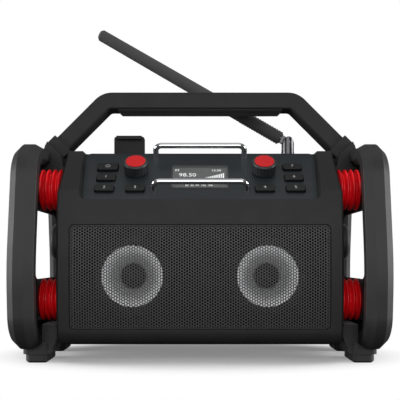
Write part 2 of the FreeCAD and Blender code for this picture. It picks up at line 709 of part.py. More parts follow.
def screw_bores():
    """The holes for the shell screws."""
    holes = []
    for x, z in screw_places():
        start = CABINET_REAR - CABINET_WALL - SCREW_DEPTH
        holes.append(rod((x, start, z), REARWARD, SCREW_RADIUS, 60))
        holes.append(rod((x, CABINET_REAR - SCREW_HEAD_HEIGHT, z), REARWARD, SCREW_HEAD_RADIUS, 20))
    return Part.makeCompound(holes)


def shell_screws():
    """The six screws that hold the shells together."""
    solids = []
    for x, z in screw_places():
        start = CABINET_REAR - CABINET_WALL - SCREW_DEPTH
        shank = rod((x, start, z), REARWARD, SCREW_RADIUS, SCREW_DEPTH + CABINET_WALL - 0.4)
        head_y = CABINET_REAR - SCREW_HEAD_HEIGHT
        head = rod((x, head_y, z), REARWARD, SCREW_HEAD_RADIUS, SCREW_HEAD_HEIGHT - 0.4)
        slots = box((x - 2.4, head_y + 0.8, z - 0.5), (x + 2.4, head_y + 9, z + 0.5))
        slots = slots.fuse(box((x - 0.5, head_y + 0.8, z - 2.4), (x + 0.5, head_y + 9, z + 2.4)))
        solids.append(shank.fuse(head).removeSplitter().cut(slots))
    return solids


def button_places():
    """Each button's name, centre on the panel and size."""
    low, middle, high = BUTTON_ROWS
    return [
        ("power_button", -BUTTON_COLUMN, high, POWER_SIZE),
        ("left_middle_button", -BUTTON_COLUMN, middle, BUTTON_SIZE),
        ("left_lower_button", -BUTTON_COLUMN, low, BUTTON_SIZE),
        ("left_inner_button", -BUTTON_INNER_COLUMN, low, BUTTON_SIZE),
        ("right_inner_button", BUTTON_INNER_COLUMN, low, BUTTON_SIZE),
        ("right_lower_button", BUTTON_COLUMN, low, BUTTON_SIZE),
        ("right_middle_button", BUTTON_COLUMN, middle, BUTTON_SIZE),
        ("right_upper_button", BUTTON_COLUMN, high, BUTTON_SIZE),
    ]


def button_block(x, v, size, grow, low, high):
    """A rounded block for a button or its hole, drawn flat."""
    half_w, half_h = size[0] / 2 + grow, size[1] / 2 + grow
    plate = rounded_plate(half_w, -half_h, half_h, BUTTON_CORNER, low, high - low)
    plate.translate(Vector(x, v, 0))
    return plate


def button(x, v, size):
    """A moulded button with a rounded top edge, standing through the panel on a short stem."""
    cap = button_block(x, v, size, 0, -PANEL_THICKNESS + 0.5, BUTTON_HEIGHT)
    rim = [e for e in cap.Edges if e.CenterOfMass.z > BUTTON_HEIGHT - 0.01]
    cap = cap.makeFillet(0.9, rim)
    stem_low = BOARD_TOP + BUTTON_TRAVEL + 0.6
    stem = rod((x, v, stem_low), UP, BUTTON_STEM, -PANEL_THICKNESS + 0.6 - stem_low)
    return on_panel(cap.fuse(stem).removeSplitter())


def panel_holes():
    """The holes through the panel for the buttons, collars, guard bars and window, drawn flat."""
    under, depth = -PANEL_THICKNESS - 1, PANEL_THICKNESS + 2
    holes = [button_block(x, v, size, BUTTON_GAP, under, 1) for _, x, v, size in button_places()]
    for x in (-KNOB_COLUMN, KNOB_COLUMN):
        holes.append(rod((x, KNOB_ROW, under), UP, COLLAR_RADIUS + RUNNING_GAP, depth))
    for row, half in ((UPPER_BAR_ROW, UPPER_BAR_HALF), (LOWER_BAR_ROW, LOWER_BAR_HALF)):
        holes += [rod((x, row, under), UP, BAR_RADIUS, depth) for x in (-half, half)]
    seat = rounded_plate(SCREEN_HALF_WIDTH, SCREEN_LOW, SCREEN_HIGH, 2, -WINDOW_THICKNESS, depth)
    ledge = 1.5
    light = rounded_plate(SCREEN_HALF_WIDTH - ledge, SCREEN_LOW + ledge, SCREEN_HIGH - ledge, 1, under, depth)
    return Part.makeCompound(holes + [seat.fuse(light)])


def control_panel():
    """The sloping panel, pierced for what it carries, with posts below it for the control board."""
    panel = panel_view(0, PANEL_TOP, [PANEL_CORNER] * 4).common(panel_slab(-PANEL_THICKNESS, 0))
    for x, v in PANEL_POSTS:
        for post_x in (-x, x):
            post = rod((post_x, v, BOARD_TOP), UP, PANEL_POST_RADIUS, BOARD_DEPTH + PANEL_THICKNESS / 2)
            panel = panel.fuse(on_panel(post))
    return panel.cut(on_panel(panel_holes())).removeSplitter()


def display_window():
    """The clear window set flush in the panel."""
    return on_panel(rounded_plate(SCREEN_HALF_WIDTH, SCREEN_LOW, SCREEN_HIGH, 2, -WINDOW_THICKNESS, WINDOW_THICKNESS))


def display_module():
    """The display behind the panel's window."""
    top = -PANEL_THICKNESS
    half = SCREEN_HALF_WIDTH + DISPLAY_MARGIN
    low, high = SCREEN_LOW - DISPLAY_MARGIN, SCREEN_HIGH + DISPLAY_MARGIN
    return on_panel(box((-half, low, top - DISPLAY_THICKNESS), (half, high, top)))


def control_board():
    """The circuit board below the panel, with a switch under each button and an encoder under each knob."""
    slope_half = PANEL_HALF_LOW - 10
    board = box((-slope_half, 7, BOARD_TOP - BOARD_THICKNESS), (slope_half, PANEL_LENGTH - 9, BOARD_TOP))
    for _, x, v, _size in button_places():
        board = board.fuse(box((x - 3, v - 3, BOARD_TOP), (x + 3, v + 3, BOARD_TOP + 0.5)))
    half = ENCODER_SIZE / 2
    for x in (-KNOB_COLUMN, KNOB_COLUMN):
        low = (x - half, KNOB_ROW - half, BOARD_TOP - BOARD_THICKNESS - 7)
        block = box(low, (x + half, KNOB_ROW + half, BOARD_TOP + 0.2))
        well = rod((x, KNOB_ROW, BOARD_TOP - 6), UP, COLLAR_RADIUS + 1, 20)
        board = board.fuse(block).cut(well)
    return on_panel(board.removeSplitter())


def knob_collar(x):
    """The push collar that a knob's shaft turns in."""
    collar = rod((x, KNOB_ROW, COLLAR_LOW), UP, COLLAR_RADIUS, COLLAR_HIGH - COLLAR_LOW)
    bore = rod((x, KNOB_ROW, COLLAR_LOW - 1), UP, SHAFT_RADIUS + RUNNING_GAP, 20)
    return on_panel(collar.cut(bore))


def knob_shaft(x):
    """The shaft below a knob."""
    start = COLLAR_LOW - 1.2
    return on_panel(rod((x, KNOB_ROW, start), UP, SHAFT_RADIUS, SHAFT_DEPTH - start))


def knob(x):
    """A knob with a fluted skirt, a recess for its cap and a bore for its shaft."""
    body = rod((x, KNOB_ROW, KNOB_GAP), UP, KNOB_RADIUS, KNOB_TOP - KNOB_GAP)
    body = body.makeFillet(1.6, [e for e in body.Edges if e.CenterOfMass.z > KNOB_TOP - 0.01])
    cap_seat = rod((x, KNOB_ROW, KNOB_TOP - KNOB_CAP_DEPTH), UP, KNOB_CAP_RADIUS, 9)
    shaft = rod((x, KNOB_ROW, KNOB_GAP - 1), UP, SHAFT_RADIUS, SHAFT_DEPTH - KNOB_GAP + 1)
    body = body.cut(cap_seat).cut(shaft)
    flutes = []
    for n in range(24):
        angle = math.radians(15 * n)
        reach = KNOB_RADIUS + 0.55
        centre = (x + reach * math.cos(angle), KNOB_ROW + reach * math.sin(angle), KNOB_GAP)
        flutes.append(rod(centre, UP, 1.0, KNOB_TOP - KNOB_GAP - 3))
    return on_panel(body.cut(Part.makeCompound(flutes)))


def knob_cap(x):
    """The bright cap let into a knob's top."""
    base = KNOB_TOP - KNOB_CAP_DEPTH
    cap = rod((x, KNOB_ROW, base), UP, KNOB_CAP_RADIUS, KNOB_CAP_DEPTH + KNOB_CAP_PROUD)
    cap = cap.makeFillet(0.6, [e for e in cap.Edges if e.CenterOfMass.z > KNOB_TOP])
    return on_panel(cap)


def guard_bar(row, half):
    """A bent rod that stands over the panel on two legs."""
    low, top, bend = -BAR_ROOT, BAR_HEIGHT, BAR_BEND
    sixth = bend * (1 - math.sqrt(0.5))
    left = [Vector(-half, row, low), Vector(-half, row, top - bend), Vector(-half + bend, row, top)]
    right = [Vector(half - bend, row, top), Vector(half, row, top - bend), Vector(half, row, low)]
    left_arc = Part.Arc(left[1], Vector(-half + sixth, row, top - sixth), left[2])
    right_arc = Part.Arc(right[0], Vector(half - sixth, row, top - sixth), right[1])
    edges = [Part.LineSegment(left[0], left[1]).toShape(), left_arc.toShape()]
    edges += [Part.LineSegment(left[2], right[0]).toShape(), right_arc.toShape()]
    edges.append(Part.LineSegment(right[1], right[2]).toShape())
    section = Part.Wire([Part.makeCircle(BAR_RADIUS, left[0], UP)])
    return on_panel(Part.Wire(edges).makePipeShell([section], True, True))


def speaker_grille():
    """The bowed grille plate, seated on the front shell's rim."""
    front = -CABINET_FRONT + GRILLE_RECESS
    skin = cabinet_block(GRILLE_HALF_WIDTH, GRILLE_RECESS)
    skin = skin.cut(cabinet_block(GRILLE_HALF_WIDTH + 1, GRILLE_RECESS + GRILLE_THICKNESS))
    return skin.common(grille_block(0, front - 9, front + 6))


def baffle_front():
    """Where the baffle's front face is."""
    return -CABINET_FRONT - CABINET_FRONT_BOW + BAFFLE_SETBACK


def speaker_baffle():
    """The board behind the grille that carries the speakers, with two round openings."""
    front = baffle_front()
    board = grille_block(BAFFLE_LAP, front, front + BAFFLE_THICKNESS)
    hole = [rod((x, front - 1, SPEAKER_HEIGHT), REARWARD, SPEAKER_RADIUS - 4, BAFFLE_THICKNESS + 2)
            for x in (-SPEAKER_OFFSET, SPEAKER_OFFSET)]
    return board.cut(Part.makeCompound(hole))


def speaker_seat():
    """Where the speakers' flanges lie against the baffle."""
    return baffle_front() + BAFFLE_THICKNESS


def speaker_frame(x):
    """A pressed speaker basket: a flange and a tapering cup."""
    y = speaker_seat()
    neck = DUST_CAP_RADIUS + 6
    outline = [(y, SPEAKER_RADIUS), (y + BASKET_WALL, SPEAKER_RADIUS), (y + BASKET_WALL, CONE_RADIUS + 1.2)]
    outline += [(y + BASKET_DEPTH, neck), (y + BASKET_DEPTH, neck - 5), (y + BASKET_DEPTH - BASKET_WALL, neck - 5)]
    outline += [(y + BASKET_DEPTH - BASKET_WALL, neck - 2), (y, CONE_RADIUS)]
    return spin_y(outline, x, SPEAKER_HEIGHT)


def speaker_cone(x):
    """The cone with its rolled edge and domed centre, as one thin shell."""
    y = speaker_seat() - CONE_WALL
    inner, outer = DUST_CAP_RADIUS, CONE_RADIUS + 1.3
    outline = [(y - 2.0, outer - 4), (y, outer), (y + CONE_WALL, outer), (y + CONE_WALL, CONE_RADIUS)]
    outline += [(y - 1.0, outer - 4), (y + 1, outer - 8.4)]
    outline += [(y + CONE_DEPTH + CONE_WALL, inner), (y + CONE_DEPTH - 2, inner / 2), (y + CONE_DEPTH - 3, 0)]
    outline += [(y + CONE_DEPTH - 4, 0), (y + CONE_DEPTH - 3, inner / 2), (y + CONE_DEPTH, inner), (y, outer - 8)]
    return spin_y(outline, x, SPEAKER_HEIGHT)


def speaker_magnet(x):
    """The ring magnet on the basket's back."""
    y = speaker_seat() + BASKET_DEPTH
    magnet = rod((x, y, SPEAKER_HEIGHT), REARWARD, MAGNET_RADIUS, MAGNET_DEPTH)
    return magnet.cut(rod((x, y - 1, SPEAKER_HEIGHT), REARWARD, MAGNET_BORE, MAGNET_DEPTH + 2))


def main_board():
    """The amplifier and tuner board, standing on the cabinet's floor between the magnets and the bay."""
    bay_front = CABINET_REAR - DOOR_THICKNESS - 2 * CELL_RADIUS - 6
    y = bay_front - 12
    board = box((-90, y, CABINET_BASE + CABINET_WALL), (90, y + 1.6, 135))
    sink = box((-30, y + 1.6, 60), (30, y + 9, 110))
    parts = [box((-70, y + 1.6, 40), (-50, y + 11, 60)), box((45, y + 1.6, 36), (75, y + 8, 52))]
    return board.fuse([sink] + parts).removeSplitter()


def bump_stop():
    """The round rubber stop on the cabinet's right side, which limits how far it can swing."""
    stop = rod((CABINET_HALF_WIDTH, 0, STOP_HEIGHT), RIGHTWARD, STOP_RADIUS, STOP_REACH)
    edge = [e for e in stop.Edges if e.CenterOfMass.x > CABINET_HALF_WIDTH + STOP_REACH - 0.01]
    stop = stop.makeFillet(STOP_EDGE, edge)
    hollow = rod((CABINET_HALF_WIDTH + STOP_REACH - 2, 0, STOP_HEIGHT), RIGHTWARD, STOP_RADIUS - 9, 9)
    return stop.cut(hollow)


def handle_points(drop, extend):
    """The handle's centre outline at a depth below its outer face, as X and Z from the left end."""
    slip = drop * math.tan(math.radians(22.5))
    end = HANDLE_ARM_END + extend
    fall = end - HANDLE_SHOULDER
    back = drop * math.sqrt(0.5)
    outer = [(-end + back, HANDLE_TOP - fall - back), (-HANDLE_SHOULDER + slip, HANDLE_TOP - drop)]
    return outer + [(-x, z) for x, z in reversed(outer)]


def handle_bar(grow, extend):
    """The handle's arched bar, grown all round by a wall, with its arms made longer."""
    outer = handle_points(-grow, extend)
    inner = handle_points(HANDLE_HEIGHT + grow, extend)
    front = -HANDLE_HALF_DEPTH - grow
    points = [Vector(x, front, z) for x, z in outer + inner[::-1]]
    radii = [0, HANDLE_OUTER_BEND + grow, HANDLE_OUTER_BEND + grow, 0]
    radii += [0, HANDLE_INNER_BEND, HANDLE_INNER_BEND, 0]
    return prism(points, radii, Vector(0, 2 * (HANDLE_HALF_DEPTH + grow), 0))


def handle_frame():
    """The carrying handle, with its long edges rounded."""
    bar = handle_bar(0, 0)
    end = HANDLE_ARM_END - HANDLE_HEIGHT
    long_edges = [e for e in bar.Edges if abs(abs(e.CenterOfMass.y) - HANDLE_HALF_DEPTH) < 0.01
                  and abs(e.CenterOfMass.x) < end]
    return bar.makeFillet(HANDLE_EDGE, long_edges).cut(grip_core())


def grip_core():
    """The groove under the handle that the soft grip is pressed into."""
    base = HANDLE_TOP - HANDLE_HEIGHT
    return box((-GRIP_HALF_LENGTH + 6, -GRIP_HALF_DEPTH + 6, base), (GRIP_HALF_LENGTH - 6, GRIP_HALF_DEPTH - 6, base + 4))


def handle_grip():
    """The soft grip under the handle."""
    base = HANDLE_TOP - HANDLE_HEIGHT
    low = (-GRIP_HALF_LENGTH, -GRIP_HALF_DEPTH, base - GRIP_DROP)
    pad = box(low, (GRIP_HALF_LENGTH, GRIP_HALF_DEPTH, base))
    pad = pad.makeChamfer(GRIP_EDGE - 0.2, [e for e in pad.Edges if e.CenterOfMass.z < base - GRIP_DROP + 0.01])
    return pad.fuse(grip_core()).removeSplitter()


def handle_bracket(ring_solid):
    """The right-hand bracket: a lug on the ring's inner side and a sleeve round the handle's arm."""
    sleeve = handle_bar(SLEEVE_WALL, 0)
    tangent = math.sqrt(0.5)
    end = Vector(HANDLE_ARM_END, 0, HANDLE_TOP - HANDLE_ARM_END + HANDLE_SHOULDER)
    keep = box((-60, -60, 0), (60, 60, SLEEVE_LENGTH))
    keep.Placement = Placement(end, Rotation(UP, Vector(-tangent, 0, tangent)))
    sleeve = sleeve.common(keep)
    inner, outer = CABINET_HALF_WIDTH + BRACKET_CLEARANCE, CARRIER_X - CARRIER_THICKNESS
    arm_low = handle_points(HANDLE_HEIGHT + SLEEVE_WALL, -BRACKET_OVERLAP)[-1]
    arm_high = handle_points(0, -BRACKET_OVERLAP)[-1]
    outline = [(outer, BRACKET_BASE), (inner, BRACKET_BASE), (inner, BRACKET_SHELF)]
    outline += [(arm_low[0] - SLEEVE_WALL, BRACKET_SHELF), arm_low, arm_high, (outer, RING_TOP - SLEEVE_WALL)]
    points = [Vector(x, -BRACKET_HALF_DEPTH, z) for x, z in outline]
    lug = prism(points, [0, 2, 0, 0, 0, 0, 0], Vector(0, 2 * BRACKET_HALF_DEPTH, 0))
    return lug.fuse(sleeve).cut(handle_bar(0, 0)).cut(ring_solid).removeSplitter()


def antenna_socket():
    """The ring on the cabinet's top that the antenna turns in."""
    socket = rod((ANTENNA_X, ANTENNA_Y, CABINET_TOP), UP, SOCKET_RADIUS, SOCKET_HEIGHT)
    socket = socket.makeChamfer(1.2, [e for e in socket.Edges if e.CenterOfMass.z > CABINET_TOP + SOCKET_HEIGHT - 0.01])
    bore = rod((ANTENNA_X, ANTENNA_Y, CABINET_TOP - 1), UP, SWIVEL_STEM_RADIUS + RUNNING_GAP, 20)
    return socket.cut(bore)


def antenna_swivel():
    """The turning post, forked at its top for the antenna."""
    foot = CABINET_TOP + SOCKET_HEIGHT + 0.3
    post = rod((ANTENNA_X, ANTENNA_Y, foot), UP, SWIVEL_RADIUS, ANTENNA_PIVOT - foot)
    crown = rod((ANTENNA_X, ANTENNA_Y - SWIVEL_RADIUS, ANTENNA_PIVOT), REARWARD, SWIVEL_RADIUS - 1.2, 2 * SWIVEL_RADIUS)
    crown = crown.common(rod((ANTENNA_X, ANTENNA_Y, foot), UP, SWIVEL_RADIUS, 60))
    stem = rod((ANTENNA_X, ANTENNA_Y, CABINET_TOP - 6), UP, SWIVEL_STEM_RADIUS, foot - CABINET_TOP + 7)
    post = post.fuse([crown, stem]).removeSplitter()
    half = FORK_SLOT / 2
    slot = box((ANTENNA_X - 20, ANTENNA_Y - half, foot + 4), (ANTENNA_X + 20, ANTENNA_Y + half, 300))
    return post.cut(slot).cut(pin_rod(0))


def pin_rod(grow):
    """The tilt pin's line through the fork, grown by a gap."""
    start = (ANTENNA_X, ANTENNA_Y - SWIVEL_RADIUS, ANTENNA_PIVOT)
    return rod(start, REARWARD, ANTENNA_PIN_RADIUS + grow, 2 * SWIVEL_RADIUS)


def along_antenna(shape):
    """Moves a shape drawn upright at the origin onto the tilted antenna's line."""
    tilt = Rotation(REARWARD, ANTENNA_TILT - 90)
    shape.Placement = Placement(Vector(ANTENNA_X, ANTENNA_Y, ANTENNA_PIVOT), tilt).multiply(shape.Placement)
    return shape


def antenna_neck():
    """The metal neck: a flat eye on the tilt pin, then a round ferrule."""
    half = FORK_SLOT / 2 - FORK_GAP
    eye = rod((0, -half, 0), REARWARD, SWIVEL_RADIUS - 2.2, 2 * half)
    blade = box((-SWIVEL_RADIUS + 3, -half, 0), (SWIVEL_RADIUS - 3, half, NECK_START + 1))
    ferrule = rod((0, 0, NECK_START), UP, ANTENNA_ROOT_RADIUS - 1.6, NECK_LENGTH)
    neck = eye.fuse([blade, ferrule]).removeSplitter()
    hole = rod((0, -20, 0), REARWARD, ANTENNA_PIN_RADIUS + RUNNING_GAP, 40)
    return along_antenna(neck.cut(hole))


def antenna_whip():
    """The rubber whip over the ferrule: ribbed near its root, then a smooth taper to a rounded tip."""
    base = NECK_START + 1.5
    outline = [(0, base)]
    ribs = int((ANTENNA_RIBBED - base) / ANTENNA_RIB_PITCH)
    for n in range(ribs):
        z = base + n * ANTENNA_RIB_PITCH
        outline += [(ANTENNA_ROOT_RADIUS, z), (ANTENNA_ROOT_RADIUS, z + ANTENNA_RIB_PITCH * 0.6)]
        outline += [(ANTENNA_ROOT_RADIUS - ANTENNA_RIB_DEPTH, z + ANTENNA_RIB_PITCH * 0.6)]
        outline += [(ANTENNA_ROOT_RADIUS - ANTENNA_RIB_DEPTH, z + ANTENNA_RIB_PITCH)]
    outline += [(ANTENNA_ROOT_RADIUS - 0.4, ANTENNA_RIBBED), (ANTENNA_TIP_RADIUS, ANTENNA_LENGTH - 2.4)]
    outline += [(ANTENNA_TIP_RADIUS - 2, ANTENNA_LENGTH), (0, ANTENNA_LENGTH)]
    points = [Vector(r, 0, z) for r, z in outline]
    whip = Part.Face(Part.makePolygon(points + [points[0]])).revolve(Vector(0, 0, 0), UP, 360)
    ferrule = rod((0, 0, NECK_START), UP, ANTENNA_ROOT_RADIUS - 1.6, NECK_LENGTH)
    return along_antenna(whip.cut(ferrule))


def clamp_plate(grow, low, high):
    """The phone clamp's upright plate, grown by a gap."""
    half = CLAMP_WIDTH / 2 + grow
    start = (CLAMP_CENTRE - half, CLAMP_FRONT - grow, low)
    return box(start, (CLAMP_CENTRE + half, CLAMP_FRONT + CLAMP_THICKNESS + grow, high))


def clamp_slot():
    """The slot in the cabinet's top that the phone clamp slides in."""
    return clamp_plate(CLAMP_GAP, CABINET_TOP - 30, CABINET_TOP + 5)


def phone_clamp():
    """The sliding clamp that holds a phone against the panel's top edge."""
    corners = [(-1, CABINET_TOP - CLAMP_DEPTH / 2), (1, CABINET_TOP - CLAMP_DEPTH / 2), (1, CLAMP_TOP), (-1, CLAMP_TOP)]
    points = [Vector(CLAMP_CENTRE + s * CLAMP_WIDTH / 2, CLAMP_FRONT, z) for s, z in corners]
    plate = prism(points, [1, 1, CLAMP_CORNER, CLAMP_CORNER], Vector(0, CLAMP_THICKNESS, 0))
    half = CLAMP_WIDTH / 2 - CLAMP_CORNER
    lip = box((CLAMP_CENTRE - half, CLAMP_FRONT - CLAMP_LIP, CLAMP_TOP - CLAMP_LIP_HEIGHT),
              (CLAMP_CENTRE + half, CLAMP_FRONT + 1, CLAMP_TOP))
    return plate.fuse(lip).removeSplitter()


def save(name, solids):
    """Writes one node, as one solid or several, and reports its volume."""
    shape = solids if isinstance(solids, Part.Shape) else Part.makeCompound(list(solids))
    if len(shape.Solids) == 1:
        shape = shape.Solids[0]
    print(name, len(shape.Solids), round(shape.Volume), shape.isValid())
    shape.exportStep("parts/" + name + ".step")


def save_cage():
    """Writes the rings and what they carry."""
    right_ring = ring()
    for side, solid in zip(("right", "left"), both_sides(right_ring)):
        save(side + "_ring", solid)
    for side, solid in zip(("right", "left"), both_sides(carrier())):
        save(side + "_carrier", solid)
    for height, z in (("upper", DAMPER_HIGH), ("lower", DAMPER_LOW)):
        pairs = [both_sides(solid) for solid in damper_pair(z)]
        for n, side in enumerate(("right", "left")):
            save(side + "_" + height + "_dampers", [pair[n] for pair in pairs])
    save("damper_bolts", damper_bolts())
    save("feet", feet(right_ring))
    save("handle_frame", handle_frame())
    save("handle_grip", handle_grip())
    for side, solid in zip(("right", "left"), both_sides(handle_bracket(right_ring))):
        save(side + "_handle_bracket", solid)


def save_cabinet():
    """Writes the cabinet's shells and what is inside them."""
    body = cabinet()
    save("front_shell", front_shell(body))
    save("rear_shell", rear_shell(body))
    save("shell_screws", shell_screws())
    save("speaker_grille", speaker_grille())
    save("speaker_baffle", speaker_baffle())
    for side, x in (("left", -SPEAKER_OFFSET), ("right", SPEAKER_OFFSET)):
        save(side + "_speaker_frame", speaker_frame(x))
        save(side + "_speaker_cone", speaker_cone(x))
        save(side + "_speaker_magnet", speaker_magnet(x))
    save("bump_stops", both_sides(bump_stop()))
    save("main_board", main_board())
    save("battery_door", battery_door())
    save("battery_latch", battery_latch())
    save("battery_cells", battery_cells())
    save("rear_sockets", sockets())
    save("socket_flap", socket_flap())


def save_controls():
    """Writes the panel and everything a hand moves."""
    save("control_panel", control_panel())
    save("display_window", display_window())
    save("display_module", display_module())
    save("control_board", control_board())
    for name, x, v, size in button_places():
        save(name, button(x, v, size))
    for side, x in (("left", -KNOB_COLUMN), ("right", KNOB_COLUMN)):
        save(side + "_knob", knob(x))
        save(side + "_knob_cap", knob_cap(x))
        save(side + "_knob_shaft", knob_shaft(x))
        save(side + "_knob_collar", knob_collar(x))
    save("upper_guard_bar", guard_bar(UPPER_BAR_ROW, UPPER_BAR_HALF))
    save("lower_guard_bar", guard_bar(LOWER_BAR_ROW, LOWER_BAR_HALF))
    save("antenna_socket", antenna_socket())
    save("antenna_swivel", antenna_swivel())
    save("antenna_pin", pin_rod(0))
    save("antenna_neck", antenna_neck())
    save("antenna_whip", antenna_whip())
    save("phone_clamp", phone_clamp())


os.makedirs("parts", exist_ok=True)
save_cage()
save_cabinet()
save_controls()
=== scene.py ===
"""Looks for a jobsite radio: a cabinet on red rubber dampers inside two side rings, under a carrying handle.

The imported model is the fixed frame. Each sub-assembly is a class that builds its own surfaces and dresses the
pieces that it owns; each finish is a small class that builds one procedural material. Lengths are in
millimetres until they enter a mesh, where they become metres.
"""

import logging
import math
from dataclasses import dataclass
from enum import Enum
from typing import Optional, Sequence

import bmesh
import bpy
import numpy as np
from mathutils import Matrix, Vector


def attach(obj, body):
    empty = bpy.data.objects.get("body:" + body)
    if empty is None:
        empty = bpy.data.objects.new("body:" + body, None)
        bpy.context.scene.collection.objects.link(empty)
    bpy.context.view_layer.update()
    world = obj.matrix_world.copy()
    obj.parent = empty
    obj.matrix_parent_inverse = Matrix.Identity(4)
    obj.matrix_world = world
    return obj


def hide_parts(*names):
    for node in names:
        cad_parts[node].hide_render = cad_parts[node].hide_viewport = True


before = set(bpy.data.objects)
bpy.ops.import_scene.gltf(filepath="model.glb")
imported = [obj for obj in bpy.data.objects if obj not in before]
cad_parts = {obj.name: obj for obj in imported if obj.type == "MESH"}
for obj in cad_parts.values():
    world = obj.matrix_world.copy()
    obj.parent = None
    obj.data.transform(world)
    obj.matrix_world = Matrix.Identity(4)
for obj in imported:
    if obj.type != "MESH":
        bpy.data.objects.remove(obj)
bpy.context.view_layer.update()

MM = 0.001
log = logging.getLogger("radio")


class Side(Enum):
    """Which side of the radio a piece is on, as the sign of its X."""

    LEFT = -1
    RIGHT = 1


def linear(code: str) -> tuple[float, float, float, float]:
    """Turns an sRGB hex colour into linear light.

    Args:
        code: Six hex digits, such as "2a2a2b".

    Returns:
        Red, green, blue and an alpha of one.
    """
    parts = [int(code[n:n + 2], 16) / 255 for n in (0, 2, 4)]
    red, green, blue = (p / 12.92 if p <= 0.04045 else ((p + 0.055) / 1.055) ** 2.4 for p in parts)
    return red, green, blue, 1.0


def add_node(tree: bpy.types.NodeTree, kind: str, inputs: Optional[dict] = None,
             **settings) -> bpy.types.Node:
    """Adds one shader node with its settings, values and links.

    Args:
        tree: The material's or world's node tree.
        kind: The node's type, without its "ShaderNode" prefix.
        inputs: Socket name or number to a value, or to the output socket that feeds it.
        settings: The node's own properties.

    Returns:
        The new node.
    """
    node = tree.nodes.new("ShaderNode" + kind)
    for key, value in settings.items():
        setattr(node, key, value)
    for key, value in (inputs or {}).items():
        if isinstance(value, bpy.types.NodeSocket):
            tree.links.new(value, node.inputs[key])
        else:
            node.inputs[key].default_value = value
    return node


def ramp(tree: bpy.types.NodeTree, factor: bpy.types.NodeSocket,
         stops: Sequence[tuple]) -> bpy.types.NodeSocket:
    """Adds a colour ramp.

    Args:
        tree: The node tree.
        factor: What drives the ramp.
        stops: (position, linear colour) pairs, in order.

    Returns:
        The ramp's colour output.
    """
    node = add_node(tree, "ValToRGB", {"Fac": factor})
    elements = node.color_ramp.elements
    while len(elements) < len(stops):
        elements.new(1.0)
    for element, (position, colour) in zip(elements, stops):
        element.position = position
        element.color = colour
    return node.outputs["Color"]


def multiply(tree: bpy.types.NodeTree, first: bpy.types.NodeSocket,
             second: bpy.types.NodeSocket) -> bpy.types.NodeSocket:
    """Multiplies two colours. A colour Mix node has its factor at socket 0, and its colours at 6 and 7."""
    sockets = {0: 1.0, 6: first, 7: second}
    return add_node(tree, "Mix", sockets, data_type="RGBA", blend_type="MULTIPLY").outputs[2]


def shade(colour: Sequence[float], share: float) -> tuple[float, float, float, float]:
    """Makes a linear colour darker or lighter by a share."""
    return tuple(min(1.0, c * share) for c in colour[:3]) + (1.0,)


@dataclass(frozen=True)
class Finish:
    """A surface finish with a fine grain in its relief and a slow drift in its colour.

    The grain is noise in object space, one grain per grain_mm. The drift is a slower noise, one patch per
    drift_mm, that moves the colour and the roughness a little, as handling and dust do.
    """

    name: str
    colour: str
    roughness: float = 0.5
    metallic: float = 0.0
    grain_mm: float = 0.9
    relief_mm: float = 0.03
    drift_mm: float = 22.0
    drift: float = 0.16
    coat: float = 0.0
    specular: float = 0.5

    def build(self) -> bpy.types.Material:
        """Makes the material, or gives the one already made."""
        found = bpy.data.materials.get(self.name)
        if found:
            return found
        material = bpy.data.materials.new(self.name)
        material.use_nodes = True
        material.node_tree.nodes.clear()
        self.wire(material.node_tree)
        return material

    def wire(self, tree: bpy.types.NodeTree) -> None:
        """Links the nodes of this finish."""
        place = self.place(tree)
        self.surface(tree, {
            "Base Color": self.tint(tree, place),
            "Roughness": self.gloss(tree, place),
            "Normal": self.grain(tree, place),
        })

    def place(self, tree: bpy.types.NodeTree) -> bpy.types.NodeSocket:
        """The object coordinates that the patterns follow."""
        return add_node(tree, "TexCoord").outputs["Object"]

    def drift_noise(self, tree: bpy.types.NodeTree, place: bpy.types.NodeSocket) -> bpy.types.NodeSocket:
        """A slow noise over the surface."""
        values = {"Vector": place, "Scale": 1 / (self.drift_mm * MM), "Detail": 4.0, "Roughness": 0.6}
        return add_node(tree, "TexNoise", values).outputs["Fac"]

    def tint(self, tree: bpy.types.NodeTree, place: bpy.types.NodeSocket) -> bpy.types.NodeSocket:
        """The colour, drifting a little to each side of its own value."""
        base = linear(self.colour)
        noise = self.drift_noise(tree, place)
        return ramp(tree, noise, [(0.3, shade(base, 1 - self.drift)), (0.7, shade(base, 1 + self.drift))])

    def gloss(self, tree: bpy.types.NodeTree, place: bpy.types.NodeSocket) -> bpy.types.NodeSocket:
        """The roughness, a little higher where the surface is dusty."""
        noise = self.drift_noise(tree, place)
        spread = {"Value": noise, "From Min": 0.3, "From Max": 0.7}
        spread.update({"To Min": self.roughness * 0.92, "To Max": min(1.0, self.roughness * 1.1)})
        return add_node(tree, "MapRange", spread).outputs["Result"]

    def grain(self, tree: bpy.types.NodeTree, place: bpy.types.NodeSocket) -> bpy.types.NodeSocket:
        """The fine relief of the moulded or coated surface."""
        values = {"Vector": place, "Scale": 1 / (self.grain_mm * MM), "Detail": 2.0}
        noise = add_node(tree, "TexNoise", values).outputs["Fac"]
        bump = {"Height": noise, "Distance": self.relief_mm * MM, "Strength": 1.0}
        return add_node(tree, "Bump", bump).outputs["Normal"]

    def surface(self, tree: bpy.types.NodeTree, inputs: dict) -> None:
        """Adds the shader and its output."""
        values = {"Metallic": self.metallic, "Coat Weight": self.coat, "Specular IOR Level": self.specular}
        values.update(inputs)
        shader = add_node(tree, "BsdfPrincipled", values)
        add_node(tree, "OutputMaterial", {"Surface": shader.outputs["BSDF"]})


@dataclass(frozen=True)
class RidgedRubber(Finish):
    """Moulded rubber: a satin sheen, and hardly any grain."""

    sheen: float = 0.15

    def surface(self, tree: bpy.types.NodeTree, inputs: dict) -> None:
        """Adds the shader with a little sheen."""
        super().surface(tree, {"Sheen Weight": self.sheen, "Sheen Roughness": 0.4, **inputs})


